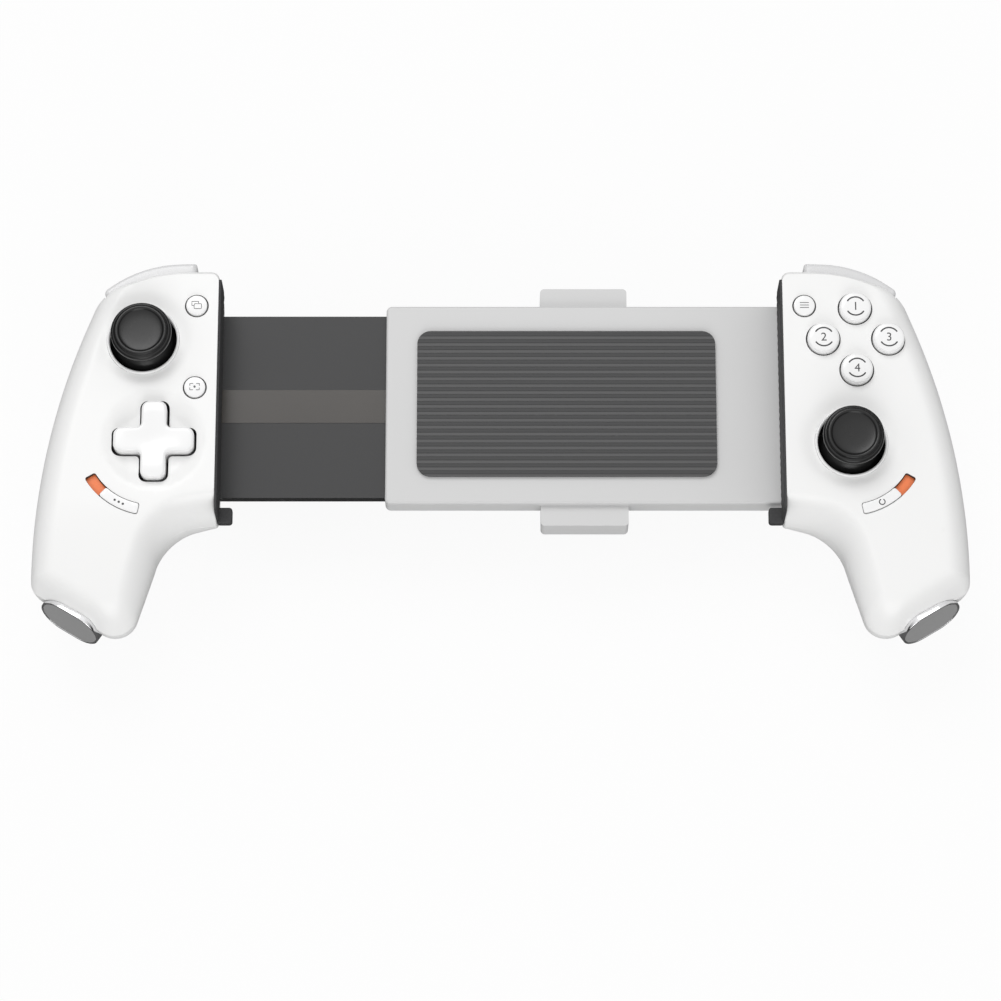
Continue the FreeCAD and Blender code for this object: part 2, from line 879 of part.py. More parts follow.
def stick(side):
    """The trim ring, and the mechanism: a housing, a yoke that tilts one way, a ball that
    tilts the other way in it, a lever that slides in the ball, and the cap."""
    x, y = STICKS[side]
    name = word(side) + "_stick_"
    ring = cylinder(
        name + "ring_outer",
        "stick_opening + ring_width - 0.02",
        "ring_depth + ring_height",
        x,
        y,
        "face_level - ring_depth",
    )
    bore = cylinder(
        name + "ring_bore", "stick_opening", "ring_depth + 3", x, y, "face_level - ring_depth - 1"
    )
    node(name + "ring", cut(name + "ring_cut", ring, bore))
    stick_housing(name, x, y)
    stick_yoke(name, x, y)
    body = fuse(
        name + "ball_body",
        ball(name + "ball_sphere", "ball_radius", x, y, "pivot_level"),
        cylinder(
            name + "ball_axle",
            "ball_trunnion",
            "yoke_width - 0.2",
            x,
            f"{y} - yoke_width / 2 + 0.1",
            "pivot_level",
            "y",
        ),
    )
    bore = cylinder(
        name + "ball_bore",
        "lever_radius + 0.05",
        "4 * ball_radius",
        x,
        y,
        "pivot_level - 2 * ball_radius",
    )
    node(name + "ball", cut(name + "ball_cut", body, bore))
    lever = cylinder(
        name + "lever_shaft",
        "lever_radius",
        "lever_below + dome_radius + 2",
        x,
        y,
        "pivot_level - lever_below",
    )
    node(name + "lever", lever)
    stick_cap(name, x, y)


def stick_housing(name, x, y):
    floor = "board_level + board_thickness"
    half = "housing_side / 2"
    inside = "(housing_side / 2 - housing_wall)"
    walls = box(
        name + "housing_block",
        (f"{x} - {half}", f"{x} + {half}"),
        (f"{y} - {half}", f"{y} + {half}"),
        (floor, "housing_top"),
    )
    room = box(
        name + "housing_room",
        (f"{x} - {inside}", f"{x} + {inside}"),
        (f"{y} - {inside}", f"{y} + {inside}"),
        (floor + " + housing_wall", "housing_top + 1"),
    )
    bore = cylinder(
        name + "housing_bore",
        "yoke_trunnion + 0.05",
        "housing_side + 2",
        f"{x} - {half} - 1",
        y,
        "pivot_level",
        "x",
    )
    node(name + "housing", cut(name + "housing_cut", walls, room, bore))


def stick_yoke(name, x, y):
    frame = fuse(
        name + "yoke_frame",
        box(
            name + "yoke_block",
            (f"{x} - yoke_length / 2", f"{x} + yoke_length / 2"),
            (f"{y} - yoke_width / 2", f"{y} + yoke_width / 2"),
            ("pivot_level - yoke_thickness / 2", "pivot_level + yoke_thickness / 2"),
        ),
        cylinder(
            name + "yoke_axle",
            "yoke_trunnion",
            "housing_side",
            f"{x} - housing_side / 2",
            y,
            "pivot_level",
            "x",
        ),
    )
    window = box(
        name + "yoke_window",
        (f"{x} - ball_radius - 0.3", f"{x} + ball_radius + 0.3"),
        (f"{y} - ball_radius - 0.15", f"{y} + ball_radius + 0.15"),
        ("pivot_level - yoke_thickness", "pivot_level + yoke_thickness"),
    )
    bore = cylinder(
        name + "yoke_bore",
        "ball_trunnion + 0.05",
        "yoke_width + 2",
        x,
        f"{y} - yoke_width / 2 - 1",
        "pivot_level",
        "y",
    )
    node(name + "yoke", cut(name + "yoke_cut", frame, window, bore))


def stick_cap(name, x, y):
    """One turned profile: a thin dome that closes the opening at any tilt, a neck and a
    dished head with a raised rim."""
    outer = size("dome_radius")
    inner = outer - size("dome_wall")
    skirt = size("dome_skirt")
    neck = size("neck_radius")
    head = size("cap_radius")
    under = size("cap_underside")
    top = under + size("cap_thickness")
    rim = size("cap_dish_radius")
    dish = top - size("cap_dish_depth")
    socket = size("lever_radius") + 0.02
    shaft = outer + 2.02
    foot_angle = math.degrees(math.asin(skirt / outer))
    neck_angle = math.degrees(math.acos(neck / outer))
    socket_angle = math.degrees(math.acos(socket / inner))
    inner_foot_angle = math.degrees(math.asin(skirt / inner))
    profile = arc_points(outer, foot_angle, neck_angle, 3)
    profile += [
        (neck, under),
        (head - 0.5, under),
        (head, under + 0.8),
        (head, under + 2.0),
        (head - 0.7, under + 2.6),
        (rim + 0.9, top),
        (rim + 0.3, top),
        (rim, dish),
        (0.0, dish),
        (0.0, shaft),
        (socket, shaft),
    ]
    profile += arc_points(inner, socket_angle, inner_foot_angle, 3)
    lifted = [(radius, level + size("pivot_level")) for radius, level in profile]
    node(name + "cap", revolved(name + "cap_turned", lifted, x, y))


# Push buttons


def round_button(label, x, y, kind):
    """A turned cap in its hole, a flange that stops it under the shell, and a stem down to
    the rubber pad."""
    under = size("face_level") - size("wall") - size("flange_gap")
    foot = stem_foot(kind)
    radius = size(kind + "_radius")
    edge = size(kind + "_round")
    top = size("face_level") + size(kind + "_height")
    flange = radius + size(kind + "_flange")
    stem = size("stem_radius")
    profile = [
        (0.0, foot),
        (stem, foot),
        (stem, under - size("flange_thickness")),
        (flange, under - size("flange_thickness")),
        (flange, under),
        (radius, under),
        (radius, top - edge),
        (radius - 0.3 * edge, top - 0.3 * edge),
        (radius - edge, top),
        (0.0, top),
    ]
    return node(label, revolved(label + "_turned", profile, x, y))


def stem_foot(kind):
    """The level of a stem's foot: over the rubber pad by the travel and a gap."""
    pad = size("board_level") + size("board_thickness") + size("pad_thickness")
    return pad + size(kind + "_travel") + size("stem_gap")


def arc_button(side):
    """A curved button beside an orange accent, on a stem of its own."""
    label = word(side) + "_arc_button"
    half = size("arc_width") / 2
    under = size("face_level") - size("wall") - size("flange_gap")
    foot = stem_foot("small_button")
    cap = ring_sector(
        label + "_cap",
        side,
        half,
        size("arc_split") + 0.3,
        size("arc_end") - 0.3,
        under - 0.2,
        size("face_level") + size("arc_height"),
    )
    flange = ring_sector(
        label + "_flange",
        side,
        half + 0.6,
        size("arc_split") + 4,
        size("arc_end") + 1,
        under - size("flange_thickness"),
        under,
    )
    angle = math.radians((size("arc_split") + size("arc_end")) / 2)
    x, y = arc_centre(side)
    x += side * -size("arc_radius") * math.cos(angle)
    y += size("arc_radius") * math.sin(angle)
    height = under - foot - 0.5
    stem = cylinder(label + "_stem", "arc_width / 2", str(height), str(x), str(y), str(foot))
    return node(label, fuse(label + "_body", cap, flange, stem))


def accent(side):
    label = word(side) + "_accent"
    top = size("face_level") - size("accent_recess")
    bar = ring_sector(
        label + "_bar",
        side,
        size("arc_width") / 2 + size("arc_gap") - 0.03,
        size("arc_start") + 0.1,
        size("arc_split"),
        top - 2.4,
        top,
    )
    return node(label, bar)


def dpad_cross(name, grow, low, high):
    """The pad's cross as two bars with rounded corners, between two levels."""
    span = f"(dpad_span / 2 + {grow})"
    arm = f"(dpad_arm / 2 + {grow})"
    across = box(
        name + "_bar_x",
        (f"-dpad_x - {span}", f"-dpad_x + {span}"),
        (f"dpad_y - {arm}", f"dpad_y + {arm}"),
        (low, high),
    )
    upwards = box(
        name + "_bar_y",
        (f"-dpad_x - {arm}", f"-dpad_x + {arm}"),
        (f"dpad_y - {span}", f"dpad_y + {span}"),
        (low, high),
    )

    def upright(edge):
        return isinstance(edge.Curve, Part.Line) and edge.BoundBox.ZLength > 1.0

    return edged("Part::Fillet", name, fuse(name + "_bars", across, upwards), "dpad_corner", upright)


def direction_pad():
    """A cross with bevelled edges and a shallow hollow, on a flange that tilts on a ball."""
    top = size("face_level") + size("dpad_height")
    cross = dpad_cross("dpad_block", "0", "dpad_pivot + 1", "face_level + dpad_height")

    def around_top(edge):
        return edge.BoundBox.ZMin > top - 0.01

    cross = edged("Part::Chamfer", "dpad_soft", cross, "dpad_edge", around_top)
    flange = cylinder("dpad_flange_disc", "dpad_flange", "1.2", "-dpad_x", "dpad_y", "dpad_pivot + 0.4")
    socket = ball("dpad_socket", "dpad_ball + 0.1", "-dpad_x", "dpad_y", "dpad_pivot")
    crown = sized("Part::Cone", "dpad_crown", Radius1="0.5", Radius2="3.6", Height="0.7")
    at(crown, "-dpad_x", "dpad_y", "face_level + dpad_height - 0.6")
    node("dpad", cut("dpad_cut", fuse("dpad_body", cross, flange), socket, crown))
    node("dpad_pivot", ball("dpad_ball_joint", "dpad_ball", "-dpad_x", "dpad_y", "dpad_pivot"))
    foot = "board_level + board_thickness"
    reach = f"dpad_pivot - 0.8 - ({foot})"
    post = cylinder("dpad_post_body", "dpad_ball", reach, "-dpad_x", "dpad_y", foot)
    cup = ball("dpad_post_cup", "dpad_ball + 0.1", "-dpad_x", "dpad_y", "dpad_pivot")
    return node("dpad_post", cut("dpad_post_cut", post, cup))


# Boards


def board_plan(side):
    """The board's outline, with a tongue under the curved button."""
    tongue = abs(arc_centre(side)[0])
    return [
        (84.0, -25.0),
        (tongue + 2.0, -26.0),
        (tongue + 5.0, -37.5),
        (tongue + 13.0, -37.5),
        (118.0, -22.0),
        (117.0, 8.0),
        (110.0, 26.2),
        (89.3, 26.4),
        (89.3, 28.4),
        (84.0, 28.4),
    ]


def circuit_board(side):
    board = prism(board_plan(side), [0.9] * 10, size("board_level"), size("board_thickness"))
    board = board.cut(screw_room())
    return node(word(side) + "_circuit_board", feature(word(side) + "_board", on_side(board, side)))


def screw_room():
    radius = size("screw_boss_radius") + 0.4
    return Part.makeCompound([Part.makeCylinder(radius, 60.0, Vector(x, y, -40.0)) for x, y in SCREWS])


def button_pad(side):
    """The rubber sheet over the board, with a window round each stick's housing."""
    level = size("board_level") + size("board_thickness")
    pad = prism(inward(board_plan(side), [1.2] * 10), [0.9] * 10, level, size("pad_thickness"))
    x = size(f"stick_{word(side)}_x")
    y = size(f"stick_{word(side)}_y")
    half = size("housing_side") / 2 + 0.4
    pad = pad.cut(Part.makeBox(2 * half, 2 * half, 10.0, Vector(x - half, y - half, level - 5)))
    pad = pad.cut(screw_room())
    if side < 0:
        pillar = Vector(size("dpad_x"), size("dpad_y"), level - 5)
        pad = pad.cut(Part.makeCylinder(size("dpad_ball") + 0.1, 20.0, pillar))
    return node(word(side) + "_button_pad", feature(word(side) + "_pad", on_side(pad, side)))


# Bumpers and triggers


def bumper(side):
    label = word(side) + "_bumper"
    points, radii = bumper_plan(0.0)
    height = size("bumper_high") - size("bumper_low")
    bar = prism(points, radii, size("bumper_low"), height)
    back = size("top_edge") - 2.0
    soft = [e for e in bar.Edges if e.BoundBox.ZLength < 0.01 and e.BoundBox.YMin > back - 2.5]
    bar = bar.makeFillet(size("bumper_round"), soft)
    pin = Part.makeCylinder(
        size("bumper_pin"),
        height + 1.8,
        Vector(size("bumper_pin_x"), size("bumper_pin_y"), size("bumper_low") - 0.9),
    )
    whole = bar.fuse(pin).removeSplitter()
    if whole.Volume < bar.Volume:
        raise RuntimeError(f"{label} has lost its bar")
    return node(label, feature(label + "_bar", on_side(whole, side)))


def trigger(side):
    """A curved lever on a steel pin, pulled towards the grip by a finger."""
    label = word(side) + "_trigger"
    pin_y = size("trigger_pin_y")
    pin_z = size("trigger_pin_z")
    profile = [
        (pin_y - 2.6, pin_z - 1.5),
        (pin_y + 2.2, pin_z - 5.5),
        (pin_y + 4.0, pin_z - 14.0),
        (pin_y + 9.4, pin_z - 16.8),
        (pin_y + 8.6, pin_z - 6.0),
        (pin_y + 7.4, pin_z + 3.0),
        (pin_y - 2.0, pin_z + 3.2),
    ]
    radii = [1.6, 5.0, 7.0, 1.4, 26.0, 2.0, 1.8]
    width = size("trigger_outer") - size("trigger_inner")
    face = Part.Face(outline(profile, radii, in_profile(size("trigger_inner"))))
    lever = face.extrude(Vector(width, 0, 0))
    ends = [
        e
        for e in lever.Edges
        if e.BoundBox.XLength < 0.01 and e.BoundBox.YMin > pin_y + 5.0 and e.BoundBox.ZMin < pin_z + 2
    ]
    lever = lever.makeChamfer(0.9, ends)
    bore = Part.makeCylinder(
        size("trigger_pin") + 0.06,
        60.0,
        Vector(size("trigger_inner") - 10, pin_y, pin_z),
        Vector(1, 0, 0),
    )
    middle = (size("trigger_inner") + size("trigger_outer")) / 2
    slot = Part.makeBox(7.0, 8.6, 8.6, Vector(middle - 3.5, pin_y - 4.3, pin_z - 4.3))
    lever = lever.cut(bore).cut(slot)
    node(label, feature(label + "_lever", on_side(lever, side)))
    axle = ("trigger_pin_y", "trigger_pin_z", "x")
    centre = f"{side} * (trigger_inner + trigger_outer) / 2"
    reach = "trigger_outer - trigger_inner + 2 * trigger_gap + 2.2"
    rod = cylinder(label + "_pin_rod", "trigger_pin", reach, f"{centre} - ({reach}) / 2", *axle)
    node(label + "_pin", rod)
    coil = cylinder(label + "_spring_coil", "trigger_pin + 1.0", "6", centre + " - 3", *axle)
    bore = cylinder(label + "_spring_bore", "trigger_pin + 0.1", "8", centre + " - 4", *axle)
    node(label + "_spring", cut(label + "_spring_cut", coil, bore))


# Cushions and the bridge


def cushion(side):
    """The soft pad on a grip's inner face, with a ledge behind the phone at its lower corner."""
    label = word(side) + "_phone_cushion"
    sheet_pad = mirrored_box(
        label + "_wall",
        side,
        ("half_gap - cushion_thickness", "half_gap"),
        ("cushion_bottom", "cushion_top"),
        ("sleeve_front + 0.2", "cushion_front"),
    )
    ledge = mirrored_box(
        label + "_ledge",
        side,
        ("half_gap - ledge_length", "half_gap"),
        ("crotch_edge + 0.2", "crotch_edge + ledge_height"),
        ("ledge_level", "-0.1"),
    )
    return node(label, fuse(label + "_body", sheet_pad, ledge))


def bridge():
    top = "sleeve_front - sleeve_wall"
    bottom = "sleeve_rear + sleeve_wall"
    inside = "sleeve_half - sleeve_wall"
    length = ("sleeve_left", "half_gap")
    width = ("-sleeve_half", "sleeve_half")

    def left_corner(edge):
        return edge.BoundBox.ZLength > 1.5 and edge.BoundBox.XMax < size("sleeve_left") + 0.01

    def long_front(edge):
        return edge.BoundBox.XLength > 50 and edge.BoundBox.ZMin > size("sleeve_front") - 0.01

    def long_rear(edge):
        return edge.BoundBox.XLength > 50 and edge.BoundBox.ZMax < size("sleeve_rear") + 0.01

    def block_end(edge):
        upright = edge.BoundBox.ZLength > 1.5
        return upright or edge.BoundBox.ZMax < size("block_rear") + 0.01

    cover = box("front_cover_plate", length, width, (top, "sleeve_front"))
    cover = edged("Part::Fillet", "front_cover_corners", cover, "cover_corner", left_corner)
    cover = edged("Part::Fillet", "front_cover_soft", cover, "cover_round", long_front)
    node("bridge_front_cover", cover)
    sleeve = box("rear_cover_block", length, width, ("sleeve_rear", top))
    sleeve = edged("Part::Fillet", "rear_cover_corners", sleeve, "cover_corner", left_corner)
    sleeve = edged("Part::Fillet", "rear_cover_soft", sleeve, "sleeve_round", long_rear)
    block = box(
        "centre_block",
        ("block_left", "block_right"),
        ("-block_half", "block_half"),
        ("block_rear", top),
    )
    body = fuse(
        "rear_cover_body",
        sleeve,
        edged("Part::Fillet", "centre_block_soft", block, "block_round", block_end),
        box(
            "tongue",
            ("half_gap - 2", "half_gap + tongue_length"),
            ("-tongue_half", "tongue_half"),
            ("tongue_level - tongue_thickness", "tongue_level"),
        ),
    )
    room = box(
        "sleeve_room",
        ("sleeve_left - 1", "half_gap - sleeve_wall"),
        (f"-({inside})", inside),
        (bottom, top + " + 1"),
    )
    port = port_form("port_hole", 0.05, 0.5, 9.0)
    node("bridge_rear_cover", cut("rear_cover_cut", body, room, port))
    node(
        "charge_port",
        cut("port_cut", port_form("port_body", 0.0, 0.0, 7.0), port_form("port_room", -0.35, 0.5, 6.0)),
    )
    half = size("rest_pad_half")
    corners = [
        (size("rest_pad_left"), -half),
        (size("rest_pad_right"), -half),
        (size("rest_pad_right"), half),
        (size("rest_pad_left"), half),
    ]
    pad = prism(corners, [4.0] * 4, size("sleeve_front"), size("rest_pad_thickness"))
    node("bridge_pad", feature("rest_pad", pad))
    rail = box(
        "rail_plate",
        ("-half_gap - wall - 1", "rail_end"),
        ("-rail_half", "rail_half"),
        (bottom + " + rail_gap", top + " - rail_gap"),
    )
    node("bridge_rail", rail)
    node(
        "ribbon_cable",
        box(
            "ribbon",
            ("-half_gap - wall - 0.8", "rail_end - 2"),
            ("-5", "5"),
            (top + " - rail_gap", top + " - rail_gap + 0.12"),
        ),
    )
    springs = [
        cylinder(
            f"spring_{number}",
            "spring_radius",
            "half_gap - sleeve_wall - rail_end",
            "rail_end",
            f"{way} * spring_spacing",
            f"({top} + {bottom}) / 2",
            "x",
        )
        for number, way in enumerate((-1, 1))
    ]
    node("bridge_springs", fuse("bridge_spring_pair", *springs))


def port_form(name, grow, start, depth):
    """The flat oval of a charging socket, from a start above the block's end inwards."""
    half = 4.45 + grow
    height = 1.6 + grow
    centre = (size("block_left") + size("block_right")) / 2
    middle = Vector(centre, size("block_half") + start, size("tongue_level"))
    points = [(-half, -height), (half, -height), (half, height), (-half, height)]
    face = Part.Face(outline(points, [height * 0.94] * 4, lambda x, z: middle + Vector(x, 0, z)))
    return feature(name, face.extrude(Vector(0, -depth - start, 0)))


def battery_pack():
    """A flat cell on the palm's floor, between the grip's two sides."""
    floor = "wall + battery_gap - palm_depth"
    start = "side_bend_y - battery_start"
    cell = box(
        "battery_cell",
        ("crotch_x + battery_inner", "side_reach - battery_outer"),
        (start, f"{start} + battery_length"),
        (floor, f"{floor} + battery_thickness"),
    )
    return node("battery_pack", cell)


for side in (1, -1):
    front_shell(side)
    rear_shell(side)
    shell_screws(side)
    end_ring(side)
    end_plate(side)
    stick(side)
    for label, (x, y, kind) in BUTTONS[side].items():
        round_button(label, x, y, kind)
    arc_button(side)
    accent(side)
    circuit_board(side)
    button_pad(side)
    bumper(side)
    trigger(side)
    cushion(side)
direction_pad()
bridge()
battery_pack()

doc.recompute()
for thing in doc.Objects:
    if "Invalid" in thing.State or "Error" in thing.State:
        raise RuntimeError(f"{thing.Name} failed")
for label, thing in NODES.items():
    if thing.Shape.isNull() or not thing.Shape.isValid():
        raise RuntimeError(f"{label} isn't a valid shape")
    if not thing.Shape.Solids:
        raise RuntimeError(f"{label} has no solid")

os.makedirs("parts", exist_ok=True)
for label, thing in NODES.items():
    thing.Shape.exportStep(f"parts/{label}.step")
print(len(NODES), "nodes written")
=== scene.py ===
import math

import bmesh
import bpy
import numpy as np
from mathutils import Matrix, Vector
from mathutils.geometry import delaunay_2d_cdt


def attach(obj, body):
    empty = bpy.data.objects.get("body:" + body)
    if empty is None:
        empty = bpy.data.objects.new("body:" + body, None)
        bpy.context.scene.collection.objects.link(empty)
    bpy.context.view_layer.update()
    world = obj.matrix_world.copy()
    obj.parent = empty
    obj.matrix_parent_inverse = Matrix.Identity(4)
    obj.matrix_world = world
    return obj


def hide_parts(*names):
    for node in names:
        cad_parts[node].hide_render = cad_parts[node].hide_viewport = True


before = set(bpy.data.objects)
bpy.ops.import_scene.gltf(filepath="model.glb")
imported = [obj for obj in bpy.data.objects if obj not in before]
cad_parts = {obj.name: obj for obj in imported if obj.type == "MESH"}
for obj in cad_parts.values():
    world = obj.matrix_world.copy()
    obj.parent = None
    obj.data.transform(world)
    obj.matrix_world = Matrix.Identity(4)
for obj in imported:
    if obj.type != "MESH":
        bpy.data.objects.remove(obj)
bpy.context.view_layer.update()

# Lengths are in millimetres until a piece is made, which turns them into metres.
MM = 0.001
TURN = 2 * math.pi
QUARTERS = [np.array([[c, s], [-s, c]]) for c, s in ((1, 0), (0, 1), (-1, 0), (0, -1))]
# A mesh's points are merged within the first length, and slivers under the second go.
MERGE, SLIVER = 0.004, 0.002
# The rim radius that stands for a sharp edge on a plate, and the least radius on an axis.
SHARP_EDGE, AXIS = 0.02, 0.004

# Levels and plan of a grip. The left grip is the mirror image of the right one.
FACE, PARTING = 12.5, -1.5
WALL, SEAM = 1.6, 0.1
INNER_SIDE = 80.8
# The levels between which a face's openings are cut.
CUT_LOW, CUT_HIGH = 6.0, 20.0
GRIP_PLAN = np.array(
    [(INNER_SIDE, -36.4), (95.6, -38.5), (105.2, -72.3), (133.0, -56.0)]
    + [(133.0, -13.4), (116.6, 29.1), (98.0, 36.6), (INNER_SIDE, 36.6)]
)
# How far the sides move in towards the face and the palm, and the front's bevels.
FRONT_ROUND, REAR_ROUND, INNER_ROUND, TOP_ROUND = 8.0, 11.0, 8.0, 1.8
BEVEL, TAIL_BEVEL, EDGE_SOFT, CORNER = 4.6, 3.3, 2.0, 2.2
# The sticks' places, their pivots' level, and the hole with a soft bowl round it.
STICKS = {"right": (99.4, -16.0), "left": (-102.0, 14.8)}
STICK_PIVOT, STICK_HOLE, BOWL_RIM, BOWL_DEPTH = 1.5, 10.45, 15.0, 0.45
# The direction pad: its arms' half width and reach, the gap round them, the roundings of
# their tips and of the crooks between them, and the dish that it stands in.
DPAD = (-98.15, -15.5)
DPAD_ARM, DPAD_SPAN, DPAD_GAP = 3.55, 11.4, 0.64
DPAD_TIP, DPAD_CROOK = 2.2, 1.5
DISH_RIM, DISH_FLOOR, DISH_DEPTH = 14.7, 9.7, 1.7
# The curved button and its accent share a bar along a circle, between angles in degrees.
ARC_CENTRE = {"right": (98.15, -15.5), "left": (-98.15, -15.5)}
ARC_RADIUS, ARC_WIDTH, ARC_GAP = 20.6, 3.0, 0.12
ARC_START, ARC_SPLIT, ARC_END = 210.3, 226.8, 259.5
FACE_BUTTONS = {
    "face_button_top": (101.4, 24.2),
    "face_button_left": (92.1, 14.9),
    "face_button_right": (110.7, 14.9),
    "face_button_bottom": (101.4, 5.6),
}
SMALL_BUTTONS = {
    "menu_button": (86.9, 25.0),
    "view_button": (-86.9, 25.0),
    "capture_button": (-86.9, 0.3),
}
FACE_BUTTON_RADIUS, SMALL_BUTTON_RADIUS, BUTTON_GAP = 4.6, 3.05, 0.15
FACE_BUTTON_RISE, SMALL_BUTTON_RISE, ARC_BUTTON_RISE = 2.2, 0.8, 0.5
FACE_BUTTON_EDGE, SMALL_BUTTON_EDGE = 0.9, 0.35
# The openings drawn in the shell are wider than the gaps by this much.
HOLE_EASE, ARC_EASE = 0.06, 0.08
SIDES = {"right": 1, "left": -1}


# Outlines: closed loops of points in a plane, anticlockwise


def around(angles):
    """Vectors of length one at angles from the x axis."""
    return np.stack([np.cos(angles), np.sin(angles)], 1)


def circle(x, y, radius, count):
    """Points at equal angles round a centre."""
    return (x, y) + radius * around(np.arange(count) * TURN / count)


def unit(ways):
    """Vectors made one long."""
    return ways / np.linalg.norm(ways, axis=1)[:, None]


def leftward(ways):
    """Vectors turned by a quarter to the left, which points inward on a loop."""
    return np.stack([-ways[:, 1], ways[:, 0]], 1)


def cross(first, second):
    """Cross products in the plane: above zero where the second vector is on the left."""
    return first[:, 0] * second[:, 1] - first[:, 1] * second[:, 0]


def rectangle(xs, ys):
    """Its four corners, between two values on each axis."""
    return np.array([(xs[0], ys[0]), (xs[1], ys[0]), (xs[1], ys[1]), (xs[0], ys[1])])


def offset_corners(points, insets):
    """Each side of a polygon moved inward by its own inset. The new corners are where
    neighbouring moved sides cross."""
    way = unit(np.roll(points, -1, 0) - points)
    moved = points + leftward(way) * insets[:, None]
    before, start = np.roll(way, 1, 0), np.roll(moved, 1, 0)
    along = cross(moved - start, way) / cross(before, way)
    return start + before * along[:, None]


def rounded_loop(points, radii, arc_steps, side_steps):
    """A polygon whose corners are arcs. An arc starts where the corner's half angle gives
    its tangent length, and shrinks where two arcs would meet on a side."""
    count, most = len(points), 0.96
    radii, arc_steps, side_steps = (
        np.broadcast_to(value, count) for value in (radii, arc_steps, side_steps)
    )
    back, ahead = np.roll(points, 1, 0) - points, np.roll(points, -1, 0) - points
    back_length, ahead_length = np.linalg.norm(back, axis=1), np.linalg.norm(ahead, axis=1)
    back, ahead = unit(back), unit(ahead)
    half = (math.pi - np.arccos(np.clip((back * ahead).sum(1), -1, 1))) / 2
    pull = radii * np.tan(half)
    room_back = most * back_length / (pull + np.roll(pull, 1) + 1e-9)
    room_ahead = most * ahead_length / (pull + np.roll(pull, -1) + 1e-9)
    share = np.minimum(1.0, np.minimum(room_back, room_ahead))
    reach, radius = pull * share, radii * share
    centre = points + unit(back + ahead) * (radius / np.cos(half))[:, None]
    arc_start, arc_end = points + back * reach[:, None], points + ahead * reach[:, None]
    parts = []
    for i in range(count):
        start = math.atan2(*(arc_start[i] - centre[i])[::-1])
        sweep = math.atan2(*(arc_end[i] - centre[i])[::-1]) - start
        sweep = (sweep + math.pi) % TURN - math.pi
        angles = start + sweep * np.linspace(0, 1, arc_steps[i])
        parts.append(centre[i] + radius[i] * around(angles))
        run = np.linspace(0, 1, side_steps[i] + 2)[1:-1, None]
        parts.append(arc_end[i] + (arc_start[(i + 1) % count] - arc_end[i]) * run)
    return np.concatenate(parts)


def cross_loop(grow):
    """The direction pad's plan: two bars with round ends and round inner corners."""
    arm, span = DPAD_ARM + grow, DPAD_SPAN + grow
    quarter = np.array([(span, -arm), (span, arm), (arm, arm)])
    corners = np.concatenate([quarter @ turn for turn in QUARTERS])
    radii = [DPAD_TIP, DPAD_TIP, DPAD_CROOK - grow * 0.6] * 4
    return rounded_loop(corners, radii, 9, 10) + np.array(DPAD)


def arc_loop(side, start, end, half, corner=0.7):
    """A bar bent along a circle, from a start to an end angle in degrees."""
    length = math.radians(end - start) * ARC_RADIUS
    flat = rounded_loop(rectangle((0.0, length), (-half, half)), corner, 7, [24, 4, 24, 4])
    along = start + np.degrees(flat[:, 0] / ARC_RADIUS)
    ways = around(np.radians(along if side == "left" else 180 - along))
    loop = np.array(ARC_CENTRE[side]) + ways * (ARC_RADIUS + flat[:, 1])[:, None]
    anticlockwise = cross(loop, np.roll(loop, -1, 0)).sum() > 0
    return loop if anticlockwise else loop[::-1]


def moved_in(loop, inset):
    """A loop moved inward by an inset, along the mean of each point's two sides."""
    return loop + leftward(unit(np.roll(loop, -1, 0) - np.roll(loop, 1, 0))) * inset


# Surfaces


def inside(points, loop):
    """Whether points are in a loop: a ray from each crosses an odd number of sides."""
    (x0, y0), (x1, y1) = loop.T, np.roll(loop, -1, 0).T
    x, y = points[:, :1], points[:, 1:]
    spans = (y0 > y) != (y1 > y)
    rise = np.where(y1 == y0, 1, y1 - y0)
    crossing = x0 + (y - y0) * (x1 - x0) / rise
    return (spans & (x < crossing)).sum(1) % 2 == 1


def filled(outer, pitch, creases=()):
    """Triangles over the plane inside a loop. Their corners are the loop's points, the
    points of crease lines and a grid that keeps off both."""
    loops = [outer, *creases]
    low, high = outer.min(0), outer.max(0)
    columns, rows = np.arange(low[0], high[0], pitch), np.arange(low[1], high[1], pitch)
    grid = np.stack(np.meshgrid(columns, rows), -1).reshape(-1, 2)
    edge_points = np.concatenate(loops)
    parts = np.array_split(grid, len(grid) // 500 + 1)
    near = [np.linalg.norm(part[:, None] - edge_points, axis=2).min(1) for part in parts]
    grid = grid[(np.concatenate(near) > 0.55 * pitch) & inside(grid, outer)]
    edges, count = [], 0
    for loop in loops:
        index = np.arange(len(loop)) + count
        edges.append(np.stack([index, np.roll(index, -1)], 1))
        count += len(loop)
    points = [Vector(point) for point in np.concatenate([edge_points, grid])]
    found = delaunay_2d_cdt(points, np.concatenate(edges).tolist(), [], 1, 1e-5)
    corners, triangles = np.array([tuple(v) for v in found[0]]), np.array(found[2])
    a, b, c = (corners[triangles[:, i]] for i in range(3))
    clockwise = cross(b - a, c - a) < 0
    triangles[clockwise] = triangles[clockwise][:, ::-1]
    return corners, triangles


def bridged(rings):
    """Quads between rings of equal length, which close on themselves."""
    rings = np.asarray(rings)
    rows, count = rings.shape[:2]
    index = np.arange(rows * count).reshape(rows, count)
    following = np.roll(index, -1, 1)
    quads = np.stack([index[:-1], following[:-1], following[1:], index[1:]], -1)
    return rings.reshape(-1, 3), quads.reshape(-1, 4)


def joined(*surfaces):
    """Several (points, faces) as one."""
    points, faces, count = [], [], 0
    for corners, polygons in surfaces:
        points.append(np.asarray(corners, float))
        faces += [[corner + count for corner in polygon] for polygon in polygons]
        count += len(corners)
    return np.concatenate(points), faces


def mirrored(surface):
    """A surface reflected in the plane x = 0, with its faces turned the right way again."""
    points, faces = surface
    return points * np.array([-1.0, 1.0, 1.0]), [face[::-1] for face in faces]


def raised(plan, height):
    """A plan's points in space, at one height or at a height for each."""
    return np.column_stack([plan, np.broadcast_to(height, len(plan))])


